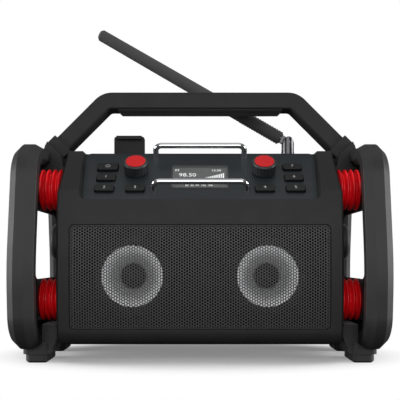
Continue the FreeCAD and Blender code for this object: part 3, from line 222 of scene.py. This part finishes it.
@dataclass(frozen=True)
class SpeakerPaper(Finish):
    """Pressed paper cone: pale fibres on the cone, a dark cap in its middle and a dark rolled edge, with painted
    shade round the cap and a painted glow over the paper.
    """

    centre_x: float = 0.0
    centre_z: float = 88.0
    cap_radius: float = 12.6
    edge_radius: float = 30.3
    dark: str = "141415"
    # Strength of the painted glow that brightens the paper, which is no lamp
    glow: float = 0.34

    def wire(self, tree: bpy.types.NodeTree) -> None:
        """Links the nodes, with the paper's own colour added as a painted glow that brightens the cone."""
        place = self.place(tree)
        tint = self.tint(tree, place)
        inputs = {"Base Color": tint, "Emission Color": tint, "Emission Strength": self.glow}
        self.surface(tree, {**inputs, "Roughness": self.gloss(tree, place), "Normal": self.grain(tree, place)})

    def tint(self, tree: bpy.types.NodeTree, place: bpy.types.NodeSocket) -> bpy.types.NodeSocket:
        """The colour by distance from the speaker's axis, with fibres in the pale zone and painted shade that darkens
        the paper towards the cap.
        """
        centre = {"Vector": place, "Location": (-self.centre_x * MM, 0, -self.centre_z * MM), "Scale": (1, 0, 1)}
        middle = add_node(tree, "Mapping", centre).outputs["Vector"]
        length = add_node(tree, "VectorMath", {0: middle}, operation="LENGTH").outputs["Value"]
        share = add_node(tree, "Math", {0: length, 1: 1 / (40 * MM)}, operation="MULTIPLY").outputs["Value"]
        pale, dark = linear(self.colour), linear(self.dark)
        cap, edge = self.cap_radius / 40, self.edge_radius / 40
        # Between the rolled edge and the cap the paper falls from 1.1 to 0.3 of its colour: painted shade in the
        # cone's deep middle
        zones = ramp(tree, share, [
            (0.0, dark), (cap - 0.01, dark), (cap + 0.03, shade(pale, 0.3)), (cap + 0.2, shade(pale, 0.5)),
            (edge - 0.08, shade(pale, 1.1)), (edge - 0.012, shade(pale, 1.1)), (edge + 0.01, dark),
        ])
        fibre = add_node(tree, "TexNoise", {"Vector": place, "Scale": 1 / (1.3 * MM), "Detail": 5.0}).outputs["Fac"]
        pulp = ramp(tree, fibre, [(0.3, (0.8, 0.8, 0.8, 1)), (0.7, (1, 1, 1, 1))])
        return multiply(tree, zones, pulp)


@dataclass(frozen=True)
class LitScreen(Finish):
    """A backlit display: grey-green film whose glow grows brighter towards its top, ruled with fine lines."""

    low_z: float = 178.0
    high_z: float = 206.0
    glow: float = 0.22

    def wire(self, tree: bpy.types.NodeTree) -> None:
        """Lights the film by height, with the display's own rows as a fine pattern."""
        place = self.place(tree)
        height = add_node(tree, "SeparateXYZ", {0: place}).outputs["Z"]
        values = {"Value": height, "From Min": self.low_z * MM, "From Max": self.high_z * MM}
        share = add_node(tree, "MapRange", values).outputs["Result"]
        film = ramp(tree, share, [(0.0, linear("2a2c2c")), (0.45, linear("3c3f3e")), (1.0, linear("6e7270"))])
        rows = add_node(tree, "TexWave", {"Vector": place, "Scale": 1 / (1.6 * MM)}, bands_direction="X")
        lines = ramp(tree, rows.outputs["Fac"], [(0.0, (0.9, 0.9, 0.9, 1)), (1.0, (1, 1, 1, 1))])
        lit = {"Emission Color": multiply(tree, film, lines), "Emission Strength": self.glow}
        self.surface(tree, {"Base Color": linear(self.colour), **lit, "Roughness": self.roughness})


@dataclass(frozen=True)
class ClearSheet(Finish):
    """Clear acrylic, polished, with a faint smear of handling in its gloss."""

    alpha: float = 0.07

    def surface(self, tree: bpy.types.NodeTree, inputs: dict) -> None:
        """Adds the shader as a thin clear sheet."""
        values = {"Base Color": linear(self.colour), "Alpha": self.alpha, "Normal": inputs["Normal"]}
        super().surface(tree, {**values, "Roughness": inputs["Roughness"]})


@dataclass(frozen=True)
class WhiteInk(Finish):
    """Pad-printed white ink, thin enough to let a little of the black through."""

    # Emission strength: the display's own light for its segments, a painted glow for the key legends
    glow: float = 0.0

    def surface(self, tree: bpy.types.NodeTree, inputs: dict) -> None:
        """Adds the shader with its glow: the display's own light on its segments, a painted glow on the printed key
        legends.
        """
        lamp = {"Emission Color": linear(self.colour), "Emission Strength": self.glow}
        super().surface(tree, {**inputs, **lamp})


class Finishes:
    """Every finish on the radio, named for the real material."""

    # Spark-textured black ABS: even, low gloss, catches side light as a soft grey
    SHELL = Finish("textured_black_abs", "232323", 0.55, grain_mm=0.9, relief_mm=0.025, drift=0.06, specular=0.22)
    CLAMP = Finish("textured_clamp_nylon", "1b1b1b", 0.6, grain_mm=0.9, relief_mm=0.025, drift=0.06, specular=0.2)
    # The rings are a slightly greyer resin with a coarser texture
    RING = Finish("textured_charcoal_polypropylene", "262626", 0.5, grain_mm=1.0, relief_mm=0.03, drift=0.07,
                  specular=0.35)
    HANDLE = Finish("textured_black_nylon", "222222", 0.55, grain_mm=0.9, relief_mm=0.025, drift=0.06, specular=0.22)
    # The panel is a smoother, bluer moulding than the cabinet round it
    PANEL = Finish("satin_blue_black_abs", "23292c", 0.45, grain_mm=0.6, relief_mm=0.01, drift=0.06, specular=0.35)
    KEY = Finish("satin_black_key_plastic", "141516", 0.45, grain_mm=0.5, relief_mm=0.01, drift=0.1, specular=0.3)
    KNOB = Finish("satin_black_knob_plastic", "26292a", 0.42, grain_mm=0.5, relief_mm=0.012, drift=0.1)
    RED_CAP = Finish("anodised_red_disc", "c50b14", 0.45, grain_mm=0.4, relief_mm=0.006, drift=0.05, specular=0.3)
    RED_RUBBER = RidgedRubber("red_silicone_rubber", "dd0f19", 0.38, grain_mm=1.2, relief_mm=0.01, drift=0.08,
                              specular=0.4, sheen=0.0)
    BLACK_RUBBER = RidgedRubber("matte_black_rubber", "181818", 0.62, grain_mm=0.8, relief_mm=0.03)
    GRIP = RidgedRubber("soft_touch_grip_rubber", "171717", 0.6, grain_mm=1.4, relief_mm=0.06)
    WHIP = RidgedRubber("antenna_rubber", "141414", 0.55, grain_mm=0.8, relief_mm=0.02, sheen=0.03, specular=0.2)
    CHROME = Finish("polished_chrome_plate", "d9dadc", 0.07, 1.0, 3.0, 0.002, drift=0.03)
    STEEL = Finish("blackened_steel", "4b4b4d", 0.32, 1.0, 0.6, 0.01, drift=0.12)
    SCREW = Finish("zinc_plated_steel", "8a8a8a", 0.3, 1.0, 0.5, 0.01, drift=0.14)
    GRILLE = Finish("powder_coated_steel", "323232", 0.55, grain_mm=0.5, relief_mm=0.015, drift=0.05)
    DARK_CAVITY = Finish("matt_black_baffle", "0c0c0c", 0.85, grain_mm=1.6, relief_mm=0.05)
    BASKET = Finish("pressed_steel_basket", "1c1c1d", 0.5, grain_mm=0.7, relief_mm=0.02)
    FERRITE = Finish("sintered_ferrite", "2b2a29", 0.7, grain_mm=0.7, relief_mm=0.05)
    BOARD = Finish("green_solder_resist", "14402a", 0.3, grain_mm=2.4, relief_mm=0.03, coat=0.4)
    CELL = Finish("printed_cell_sleeve", "20304a", 0.3, grain_mm=4.0, relief_mm=0.01, coat=0.3)
    WINDOW = ClearSheet("clear_acrylic", "d8dcdc", 0.06, grain_mm=6.0, relief_mm=0.001)
    SCREEN = LitScreen("backlit_film", "303232", 0.4)
    # The printed key legends carry a painted glow of 0.12 that brightens the ink
    LEGEND = WhiteInk("pad_printed_white_painted_glow", "b4b6b6", 0.5, drift=0.1, glow=0.12)
    DIGITS = WhiteInk("display_segments", "e6eae8", 0.5, drift=0.02, glow=0.5)


def rounded_path(corners: Sequence[tuple[float, float]], radii: Sequence[float], steps: int) -> tuple:
    """Samples a closed outline whose corners are arcs.

    Each corner's arc has its centre on the corner's bisector, at radius / sin(half the corner's angle) from the
    corner, and runs between the two points where it touches the sides.

    Args:
        corners: The sharp corners, anticlockwise.
        radii: Each corner's radius.
        steps: Points on each arc.

    Returns:
        The points and their outward normals, as two arrays of (count, 2).
    """
    sharp = np.array(corners, float)
    before = np.roll(sharp, 1, 0) - sharp
    after = np.roll(sharp, -1, 0) - sharp
    before /= np.linalg.norm(before, axis=1)[:, None]
    after /= np.linalg.norm(after, axis=1)[:, None]
    half = np.arccos(np.clip((before * after).sum(1), -1, 1)) / 2
    inward = (before + after) / np.linalg.norm(before + after, axis=1)[:, None]
    centres = sharp + inward * (np.array(radii) / np.sin(half))[:, None]
    start_way = np.stack([-before[:, 1], before[:, 0]], 1)
    turn = (math.pi - 2 * half)[:, None] * np.linspace(0, 1, steps)[None]
    angle = np.arctan2(start_way[:, 1], start_way[:, 0])[:, None] + turn
    normals = np.stack([np.cos(angle), np.sin(angle)], -1)
    points = centres[:, None] + normals * np.array(radii)[:, None, None]
    return points.reshape(-1, 2), normals.reshape(-1, 2)


def grid_faces(rows: int, columns: int, wrap_rows: bool, wrap_columns: bool) -> np.ndarray:
    """The quads of a grid of points laid out row by row.

    Args:
        rows: How many rows of points.
        columns: How many points in a row.
        wrap_rows: Whether the last row joins the first.
        wrap_columns: Whether each row closes on itself.

    Returns:
        An array of (count, 4) point numbers.
    """
    row = np.arange(rows if wrap_rows else rows - 1)[:, None]
    column = np.arange(columns if wrap_columns else columns - 1)[None]
    next_row, next_column = (row + 1) % rows, (column + 1) % columns
    quads = [row * columns + column, row * columns + next_column]
    quads += [next_row * columns + next_column, next_row * columns + column]
    return np.stack([np.broadcast_to(q, (row.size, column.size)) for q in quads], -1).reshape(-1, 4)


def make_mesh(name: str, points: np.ndarray, faces: Sequence, finish: Finish,
              smooth: bool = True) -> bpy.types.Object:
    """Makes an object at the origin from points in millimetres.

    Args:
        name: The piece's name.
        points: An array of (count, 3).
        faces: Point numbers of each face.
        finish: What it is finished in.
        smooth: Whether its faces are shaded smooth.

    Returns:
        The new object.
    """
    mesh = bpy.data.meshes.new(name)
    mesh.from_pydata((np.asarray(points) * MM).tolist(), [], [list(map(int, f)) for f in faces])
    mesh.polygons.foreach_set("use_smooth", np.full(len(mesh.polygons), smooth))
    mesh.update()
    piece = bpy.data.objects.new(name, mesh)
    bpy.context.scene.collection.objects.link(piece)
    piece.data.materials.append(finish.build())
    return piece


def revolve(name: str, profile: np.ndarray, axis_point: tuple, finish: Finish,
            steps: int = 72) -> bpy.types.Object:
    """Turns a profile about an axis along X.

    Point (u, v) is at x = profile x, y = axis y + r cos v, z = axis z + r sin v.

    Args:
        name: The piece's name.
        profile: (x, radius) points, with a radius of zero at both ends, from low X to high X.
        axis_point: The axis's (y, z).
        finish: What it is finished in.
        steps: Points round the axis.

    Returns:
        The new object, with its poles merged.
    """
    angle = np.linspace(0, 2 * math.pi, steps, endpoint=False)
    x = np.broadcast_to(profile[:, :1], (len(profile), steps))
    y = axis_point[0] + profile[:, 1:] * np.cos(angle)
    z = axis_point[1] + profile[:, 1:] * np.sin(angle)
    points = np.stack([x, y, z], -1).reshape(-1, 3)
    faces = grid_faces(len(profile), steps, False, True)[:, ::-1]
    piece = make_mesh(name, points, faces, finish)
    merge(piece)
    return piece


def merge(piece: bpy.types.Object, distance_mm: float = 0.001) -> None:
    """Merges doubled points, as at a pole, and drops faces that had no area."""
    work = bmesh.new()
    work.from_mesh(piece.data)
    bmesh.ops.remove_doubles(work, verts=work.verts, dist=distance_mm * MM)
    bmesh.ops.recalc_face_normals(work, faces=work.faces)
    work.to_mesh(piece.data)
    work.free()


def mirrored(points: np.ndarray, side: Side) -> np.ndarray:
    """The points on the asked side, drawn for the right."""
    return points * np.array([side.value, 1, 1])


@dataclass
class SideRing:
    """One side ring: a rounded eight-sided section carried round the ring's outline."""

    side: Side
    base_half_depth: float = 94.0
    bulge_half_depth: float = 100.0
    top_half_depth: float = 81.5
    base_z: float = 14.0
    bulge_z: float = 96.0
    top_z: float = 222.7
    base_radius: float = 38.0
    bulge_radius: float = 240.0
    top_radius: float = 40.0
    edge_radius: float = 0.9

    def outline(self) -> tuple:
        """The outermost outline in Y and Z, and its outward normals."""
        base, bulge, top = self.base_half_depth, self.bulge_half_depth, self.top_half_depth
        corners = [(-base, self.base_z), (base, self.base_z), (bulge, self.bulge_z)]
        corners += [(top, self.top_z), (-top, self.top_z), (-bulge, self.bulge_z)]
        radii = [self.base_radius, self.base_radius, self.bulge_radius]
        radii += [self.top_radius, self.top_radius, self.bulge_radius]
        return rounded_path(corners, radii, 26)

    def section(self) -> np.ndarray:
        """The bar's section as (x, distance in from the outermost outline)."""
        corners = [(159.5, 5), (168.5, 0), (178.5, 0), (186, 7)]
        corners += [(186, 14.5), (180.5, 20), (165, 20), (159.5, 14.5)]
        points, _ = rounded_path(corners, [self.edge_radius] * 8, 4)
        return points

    def build(self) -> bpy.types.Object:
        """Carries the section round the outline: point (s, t) is outline(s) less inset(t) times its normal."""
        outline, normals = self.outline()
        section = self.section()
        spots = outline[:, None] - normals[:, None] * section[None, :, 1:]
        across = np.broadcast_to(section[None, :, :1], (len(outline), len(section), 1))
        points = np.concatenate([across, spots], -1).reshape(-1, 3)
        faces = grid_faces(len(outline), len(section), True, True)
        label = self.side.name.lower()
        piece = make_mesh(f"{label}_ring_moulding", mirrored(points, self.side), faces, Finishes.RING)
        merge(piece)
        facets = piece.modifiers.new("flat_facets", "WEIGHTED_NORMAL")
        facets.keep_sharp = True
        facets.weight = 50
        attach(piece, "radio")
        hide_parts(f"{label}_ring")
        return piece


@dataclass
class DamperSet:
    """The ribbed rubber dampers at one height on one side."""

    side: Side
    height: str
    z: float
    half_spacing: float = 43.0
    start: float = 139.8
    end: float = 167.0
    crest: float = 21.5
    root: float = 17.2
    ribs: int = 4
    flange: float = 2.6

    def profile(self) -> np.ndarray:
        """The bellows' radius along X: a cosine between root and crest, sharpened at the crests."""
        length = self.end - self.start - self.flange
        x = np.linspace(0, length, 16 * self.ribs + 1)
        wave = (1 - np.cos(2 * math.pi * self.ribs * x / length)) / 2
        radius = self.root + (self.crest - self.root) * wave ** 0.8
        return np.stack([self.start + x, radius], 1)

    def build(self) -> list:
        """Makes the red bellows and the black boss at the ring's end of each damper."""
        pieces = []
        label = f"{self.side.name.lower()}_{self.height}"
        for place, y in (("front", -self.half_spacing), ("rear", self.half_spacing)):
            wave = self.profile()
            ends = np.array([[self.start, 0.0]]), np.array([[self.end - self.flange, 0.0]])
            red = revolve(f"{label}_{place}_bellows", np.concatenate([ends[0], wave, ends[1]]), (y, self.z),
                          Finishes.RED_RUBBER)
            low, high, radius = self.end - self.flange, self.end, self.crest
            disc = [(low, 0), (low, radius - 0.8), (low + 0.3, radius - 0.2), (low + 0.8, radius)]
            disc += [(high - 0.6, radius), (high, radius - 0.4), (high, 0)]
            boss = revolve(f"{label}_{place}_boss", np.array(disc, float), (y, self.z), Finishes.BLACK_RUBBER)
            pieces += [red, boss]
        for piece in pieces:
            piece.data.transform(mirror_matrix(self.side))
            if self.side is Side.LEFT:
                piece.data.flip_normals()
            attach(piece, "radio")
        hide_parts(f"{label}_dampers")
        return pieces


def mirror_matrix(side: Side) -> Matrix:
    """The matrix that puts a right-hand mesh on the asked side."""
    return Matrix.Diagonal((side.value, 1, 1, 1))


@dataclass
class Grille:
    """The perforated steel plate over the speakers, bowed like the cabinet's front."""

    half_width: float = 126.6
    low: float = 37.0
    high: float = 138.0
    corner: float = 4.5
    front: float = -83.4
    bow: float = 3.0
    bow_low: float = 36.0
    bow_high: float = 150.0
    thickness: float = 1.2
    pitch: float = 2.87
    hole: float = 1.16
    rim: float = 0.9

    def face_y(self, z: np.ndarray) -> np.ndarray:
        """The front surface's Y at each height: a circular arc through the face's ends and its bowed middle."""
        middle, half = (self.bow_low + self.bow_high) / 2, (self.bow_high - self.bow_low) / 2
        radius = (half ** 2 + self.bow ** 2) / (2 * self.bow)
        return self.front - self.bow + radius - np.sqrt(radius ** 2 - (z - middle) ** 2)

    def cells(self) -> np.ndarray:
        """The centres of the staggered holes, as (x, z), that lie inside the rim."""
        column = self.pitch * math.sqrt(3) / 2
        reach = int(self.half_width / column)
        x = np.arange(-reach, reach + 1) * column
        rows = int((self.high - self.low) / self.pitch)
        z = (self.low + self.high) / 2 + (np.arange(-rows, rows + 1)) * self.pitch / 2
        grid_x, grid_z = np.meshgrid(x, z, indexing="ij")
        stagger = (np.arange(len(x))[:, None] + np.arange(len(z))[None]) % 2 == 0
        margin = self.rim + 0.4
        keep = stagger & (np.abs(grid_x) < self.half_width - margin)
        keep &= (grid_z > self.low + margin) & (grid_z < self.high - margin)
        return np.stack([grid_x[keep], grid_z[keep]], 1)

    def perforated(self) -> bpy.types.Object:
        """One hexagon of steel round each hole: its outer ring meets its neighbours, its inner ring is the hole."""
        centres = self.cells()
        angle = np.radians(np.arange(6) * 60)
        unit = np.stack([np.cos(angle), np.sin(angle)], 1)
        outer = centres[:, None] + unit[None] * self.pitch / math.sqrt(3)
        inner = centres[:, None] + unit[None] * self.hole
        half, low, high = self.half_width - 0.4, self.low + 0.4, self.high - 0.4
        outer[..., 0] = np.clip(outer[..., 0], -half, half)
        outer[..., 1] = np.clip(outer[..., 1], low, high)
        rings = [outer, inner, inner, outer]
        depth = [0, 0, self.thickness, self.thickness]
        layers = []
        for ring, deep in zip(rings, depth):
            layers.append(np.stack([ring[..., 0], self.face_y(ring[..., 1]) + deep, ring[..., 1]], -1))
        points = np.stack(layers, 1).reshape(-1, 3)
        first = np.arange(6)
        second = (first + 1) % 6
        quads = [np.stack([a * 6 + first, a * 6 + second, b * 6 + second, b * 6 + first], 1)
                 for a, b in ((0, 1), (1, 2), (2, 3))]
        cell = np.concatenate(quads)
        faces = (np.arange(len(centres)) * 24)[:, None, None] + cell[None]
        return make_mesh("grille_perforated_plate", points, faces.reshape(-1, 4), Finishes.GRILLE, False)

    def border(self) -> bpy.types.Object:
        """The plain rolled rim round the holes: a rounded strip carried round the plate's outline."""
        half = self.half_width
        corners = [(-half, self.low), (half, self.low), (half, self.high), (-half, self.high)]
        outline, normals = rounded_path(corners, [self.corner] * 4, 14)
        section = [(0, 1.6), (0, 0.5), (0.3, 0.1)]
        section += [(self.rim - 0.2, 0.05), (self.rim, 0.15), (self.rim, 1.6)]
        section = np.array(section)
        spots = outline[:, None] - normals[:, None] * section[None, :, :1]
        deep = self.face_y(spots[..., 1]) + section[None, :, 1]
        points = np.stack([spots[..., 0], deep, spots[..., 1]], -1).reshape(-1, 3)
        faces = grid_faces(len(outline), len(section), True, True)
        piece = make_mesh("grille_rim", points, faces, Finishes.GRILLE, False)
        merge(piece)
        return piece

    def build(self) -> list:
        """Makes the plate and its rim."""
        plate, rim = self.perforated(), self.border()
        for piece in (plate, rim):
            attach(piece, "radio")
        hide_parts("speaker_grille")
        return [plate, rim]


@dataclass
class PanelFace:
    """The sloping panel's own frame of reference, for what is printed or moulded on it."""

    front: float = -73.0
    base: float = 164.0
    angle: float = math.radians(43.5)

    def matrix(self, x: float, v: float, lift: float) -> Matrix:
        """The matrix that lays a flat shape on the panel.

        Args:
            x: Distance to the right, in millimetres.
            v: Distance up the slope.
            lift: Height above the panel's face.

        Returns:
            A matrix in metres.
        """
        cosine, sine = math.cos(self.angle), math.sin(self.angle)
        spot = (x, self.front + v * cosine - lift * sine, self.base + v * sine + lift * cosine)
        return Matrix.Translation(Vector(spot) * MM) @ Matrix.Rotation(self.angle, 4, "X")


@dataclass
class PrintedMark:
    """Text or numbers printed on, or shown behind, the panel."""

    name: str
    words: str
    x: float
    v: float
    lift: float
    height: float
    body: str
    finish: Finish
    slot: str

    def build(self, face: PanelFace) -> bpy.types.Object:
        """Makes the mark as a thin mesh of ink in its place."""
        curve = bpy.data.curves.new(self.name, "FONT")
        curve.body = self.words
        curve.size = self.height * MM
        curve.extrude = 0.04 * MM
        curve.align_x = "CENTER"
        curve.align_y = "CENTER"
        source = bpy.data.objects.new(self.name + "_source", curve)
        bpy.context.scene.collection.objects.link(source)
        bpy.context.view_layer.update()
        mesh = bpy.data.meshes.new_from_object(source.evaluated_get(bpy.context.evaluated_depsgraph_get()))
        bpy.data.objects.remove(source)
        mesh.transform(face.matrix(self.x, self.v, self.lift))
        mesh.materials.clear()
        piece = bpy.data.objects.new(self.name, mesh)
        bpy.context.scene.collection.objects.link(piece)
        piece.data.materials.append(self.finish.build())
        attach(piece, self.body)
        return piece


@dataclass
class Controls:
    """What is printed on the panel's keys and lit on its display."""

    face: PanelFace
    column: float = 96.5
    inner_column: float = 65.4
    rows: tuple = (16.4, 34.4, 53.0)
    key_top: float = 3.02
    number_height: float = 5.4
    film_lift: float = -2.35

    def keys(self) -> list:
        """The numbered legends on the keys and the standby sign on the first."""
        low, middle, high = self.rows
        spots = [("left_middle_button", -self.column, middle), ("left_lower_button", -self.column, low)]
        spots += [("left_inner_button", -self.inner_column, low), ("right_inner_button", self.inner_column, low)]
        spots += [("right_lower_button", self.column, low), ("right_middle_button", self.column, middle)]
        spots += [("right_upper_button", self.column, high)]
        made = []
        for number, (node, x, v) in enumerate(spots, 1):
            mark = PrintedMark(f"{node}_number", str(number), x, v, self.key_top, self.number_height, node,
                               Finishes.LEGEND, "key_plastic")
            made.append(mark.build(self.face))
        made.append(self.standby(-self.column, high))
        return made

    def standby(self, x: float, v: float) -> bpy.types.Object:
        """The standby sign: three quarters of a ring, open at its top, and a bar."""
        angle = np.linspace(math.radians(125), math.radians(415), 40)
        rings = [np.stack([r * np.cos(angle), r * np.sin(angle)], 1) for r in (1.9, 2.45)]
        arc = np.stack(rings, 0)
        flat = arc.reshape(-1, 2)
        faces = grid_faces(2, len(angle), False, False)
        bar = np.array([(-0.28, 0.4), (0.28, 0.4), (0.28, 2.9), (-0.28, 2.9)])
        every = np.concatenate([flat, bar])
        points = np.concatenate([every, np.zeros((len(every), 1))], 1)
        count = len(flat)
        quads = [f[::-1] for f in faces] + [[count, count + 1, count + 2, count + 3]]
        piece = make_mesh("power_button_sign", points, quads, Finishes.LEGEND, False)
        piece.data.transform(self.face.matrix(x, v, self.key_top + 0.03))
        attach(piece, "power_button")
        return piece

    def screen(self) -> list:
        """Numbers and a level bar on the display, generic ones."""
        marks = [("screen_clock", "12:30", 17.0, 52.0, 4.6), ("screen_station", "98.50", -13.0, 44.0, 8.2)]
        marks += [("screen_preset", "03", -24.0, 52.5, 4.6)]
        marks += [("screen_range", "87  92  97  102  108", -1.0, 26.0, 3.4)]
        made = [PrintedMark(n, w, x, v, self.film_lift, h, "radio", Finishes.DIGITS, "display").build(self.face)
                for n, w, x, v, h in marks]
        bars = np.arange(9)
        left = 6.0 + bars * 2.2
        top = 40.0 + bars * 0.9
        corners = np.stack([
            np.stack([left, np.full(9, 39.0)], 1), np.stack([left + 1.5, np.full(9, 39.0)], 1),
            np.stack([left + 1.5, top], 1), np.stack([left, top], 1)], 1).reshape(-1, 2)
        points = np.concatenate([corners, np.zeros((len(corners), 1))], 1)
        faces = np.arange(36).reshape(9, 4)
        level = make_mesh("screen_level", points, faces, Finishes.DIGITS, False)
        level.data.transform(self.face.matrix(0, 0, self.film_lift))
        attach(level, "radio")
        return made + [level]

    def build(self) -> list:
        """Makes every printed or lit mark."""
        return self.keys() + self.screen()


class Dresser:
    """Gives every carried-over CAD node its finish."""

    EXACT = {
        "front_shell": Finishes.SHELL, "rear_shell": Finishes.SHELL, "battery_door": Finishes.SHELL,
        "left_carrier": Finishes.SHELL, "right_carrier": Finishes.SHELL, "phone_clamp": Finishes.CLAMP,
        "battery_latch": Finishes.KEY, "rear_sockets": Finishes.KEY, "antenna_socket": Finishes.SHELL,
        "handle_frame": Finishes.HANDLE, "left_handle_bracket": Finishes.HANDLE,
        "right_handle_bracket": Finishes.HANDLE, "handle_grip": Finishes.GRIP, "control_panel": Finishes.PANEL,
        "feet": Finishes.BLACK_RUBBER, "bump_stops": Finishes.BLACK_RUBBER, "socket_flap": Finishes.BLACK_RUBBER,
        "antenna_whip": Finishes.WHIP, "antenna_neck": Finishes.STEEL, "antenna_swivel": Finishes.STEEL,
        "antenna_pin": Finishes.STEEL, "damper_bolts": Finishes.SCREW, "shell_screws": Finishes.SCREW,
        "speaker_baffle": Finishes.DARK_CAVITY, "display_window": Finishes.WINDOW,
        "display_module": Finishes.SCREEN, "control_board": Finishes.BOARD, "main_board": Finishes.BOARD,
        "battery_cells": Finishes.CELL, "upper_guard_bar": Finishes.CHROME, "lower_guard_bar": Finishes.CHROME,
    }
    ENDINGS = {
        "_button": Finishes.KEY, "_knob": Finishes.KNOB, "_knob_cap": Finishes.RED_CAP, "_knob_shaft": Finishes.SCREW,
        "_knob_collar": Finishes.STEEL, "_speaker_frame": Finishes.BASKET, "_speaker_magnet": Finishes.FERRITE,
        "_ring": Finishes.RING, "_dampers": Finishes.RED_RUBBER, "speaker_grille": Finishes.GRILLE,
    }

    def finish_for(self, node: str) -> Finish:
        """The finish of one node, by its name or by how its name ends."""
        if node in self.EXACT:
            return self.EXACT[node]
        if node.endswith("_speaker_cone"):
            side = Side.LEFT if node.startswith("left") else Side.RIGHT
            return SpeakerPaper(f"{side.name.lower()}_cone_paper", "e4e5e7", 0.7, centre_x=66.9 * side.value)
        return next(finish for ending, finish in self.ENDINGS.items() if node.endswith(ending))

    def build(self) -> None:
        """Dresses all the nodes."""
        for node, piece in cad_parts.items():
            finish = self.finish_for(node)
            piece.data.materials.clear()
            piece.data.materials.append(finish.build())
            log.info("%s is finished in %s", node, finish.name)


@dataclass
class Studio:
    """A pale floor, soft lamps and the camera at the photograph's view."""

    distance: float = 698.5
    eye_height: float = 105.0
    focal_pixels: float = 632.0
    horizon_pixel: float = 259.0
    frame_pixels: float = 400.0
    sensor: float = 36.0
    floor_glow: float = 0.2
    surround: float = 0.2
    pool: tuple = (0.215, 0.12)
    top_watts: float = 3.5
    side_watts: float = 120.0
    front_watts: float = 29.0

    def camera(self) -> None:
        """Places a level camera in front, shifted up to frame the handle and antenna."""
        data = bpy.data.cameras.new("photo_camera")
        data.sensor_width = self.sensor
        data.lens = self.sensor * self.focal_pixels / self.frame_pixels
        data.shift_y = (self.horizon_pixel - self.frame_pixels / 2) / self.frame_pixels
        data.clip_start = 0.01
        camera = bpy.data.objects.new("photo_camera", data)
        camera.location = (0, -self.distance * MM, self.eye_height * MM)
        camera.rotation_euler = (math.pi / 2, 0, 0)
        bpy.context.scene.collection.objects.link(camera)
        bpy.context.scene.camera = camera

    def lamp(self, name: str, place: tuple, aim: tuple, size: tuple, power: float) -> None:
        """Adds one soft rectangular lamp.

        Args:
            name: The lamp's name.
            place: Where it is, in metres.
            aim: The point it faces.
            size: Its width and height in metres.
            power: Its power in watts.
        """
        data = bpy.data.lights.new(name, "AREA")
        data.shape = "RECTANGLE"
        data.size, data.size_y = size
        data.energy = power
        lamp = bpy.data.objects.new(name, data)
        lamp.location = place
        lamp.rotation_euler = (Vector(aim) - Vector(place)).to_track_quat("-Z", "Y").to_euler()
        bpy.context.scene.collection.objects.link(lamp)

    def floor(self) -> None:
        """A pale floor that reads as white away from the radio's shadow."""
        size = 6.0
        points = np.array([(-size, -size, 0), (size, -size, 0), (size, size, 0), (-size, size, 0)]) / MM
        floor = make_mesh("floor", points, [[0, 1, 2, 3]], Finish("pale_floor", "e8e8e8", 0.9), False)
        tree = floor.data.materials[0].node_tree
        tree.nodes.clear()
        path = add_node(tree, "LightPath")
        seen = path.outputs["Is Camera Ray"]
        glow = add_node(tree, "Math", {0: seen, 1: self.floor_glow}, operation="MULTIPLY")
        colour = ramp(tree, seen, [(0.0, linear("565656")), (1.0, linear("f4f4f4"))])
        inputs = {"Base Color": colour, "Roughness": 0.95, "Emission Color": (1, 1, 1, 1)}
        inputs.update({"Emission Strength": glow.outputs["Value"], "Specular IOR Level": 0.0})
        shader = add_node(tree, "BsdfPrincipled", inputs)
        place = add_node(tree, "TexCoord").outputs["Object"]
        centred = add_node(tree, "Mapping", {"Vector": place, "Scale": (1 / self.pool[0], 1 / self.pool[1], 0)})
        length = add_node(tree, "VectorMath", {0: centred.outputs["Vector"]}, operation="LENGTH").outputs["Value"]
        edge = {"Value": length, "From Min": 0.7, "From Max": 1.15}
        fade = add_node(tree, "MapRange", edge, interpolation_type="SMOOTHSTEP")
        gate = add_node(tree, "Math", {0: fade.outputs["Result"], 1: seen}, operation="MULTIPLY")
        white = add_node(tree, "Emission", {"Color": (1, 1, 1, 1), "Strength": 1.0})
        layers = {0: gate.outputs["Value"], 1: shader.outputs["BSDF"], 2: white.outputs["Emission"]}
        mixed = add_node(tree, "MixShader", layers)
        add_node(tree, "OutputMaterial", {"Surface": mixed.outputs["Shader"]})

    def world(self) -> None:
        """White to the camera and through clear parts, dimmer as a light and in reflections."""
        world = bpy.data.worlds.new("studio")
        bpy.context.scene.world = world
        world.use_nodes = True
        tree = world.node_tree
        tree.nodes.clear()
        path = add_node(tree, "LightPath")
        rays = {0: path.outputs["Is Camera Ray"], 1: path.outputs["Is Transmission Ray"]}
        direct = add_node(tree, "Math", rays, operation="MAXIMUM")
        reach = {"Value": direct.outputs["Value"], "To Min": self.surround, "To Max": 1.0}
        strength = add_node(tree, "MapRange", reach)
        glow = add_node(tree, "Background", {"Color": (1, 1, 1, 1), "Strength": strength.outputs["Result"]})
        add_node(tree, "OutputWorld", {"Surface": glow.outputs["Background"]})

    def build(self) -> None:
        """Sets up the whole studio."""
        self.camera()
        self.floor()
        self.world()
        self.lamp("top_softbox", (0, -0.15, 1.5), (0, 0, 0.1), (1.6, 1.2), self.top_watts)
        for side in Side:
            place = (3.2 * side.value, -0.5, 0.5)
            self.lamp(f"{side.name.lower()}_softbox", place, (0, -0.05, 0.12), (1.2, 1.6), self.side_watts)
        self.lamp("front_softbox", (0, -2.3, 0.6), (0, 0, 0.12), (2.2, 1.3), self.front_watts)
        bpy.context.scene.view_settings.view_transform = "Standard"


def main() -> None:
    """Builds the radio's looks, sub-assembly by sub-assembly."""
    logging.basicConfig(level=logging.INFO, format="%(message)s")
    Dresser().build()
    for side in Side:
        log.info("made %s", SideRing(side).build().name)
        for height, z in (("upper", 176.3), ("lower", 63.2)):
            log.info("made %s", [piece.name for piece in DamperSet(side, height, z).build()])
    log.info("made %s", [piece.name for piece in Grille().build()])
    log.info("made %s", [piece.name for piece in Controls(PanelFace()).build()])
    Studio().build()


if __name__ == "__main__":
    main()
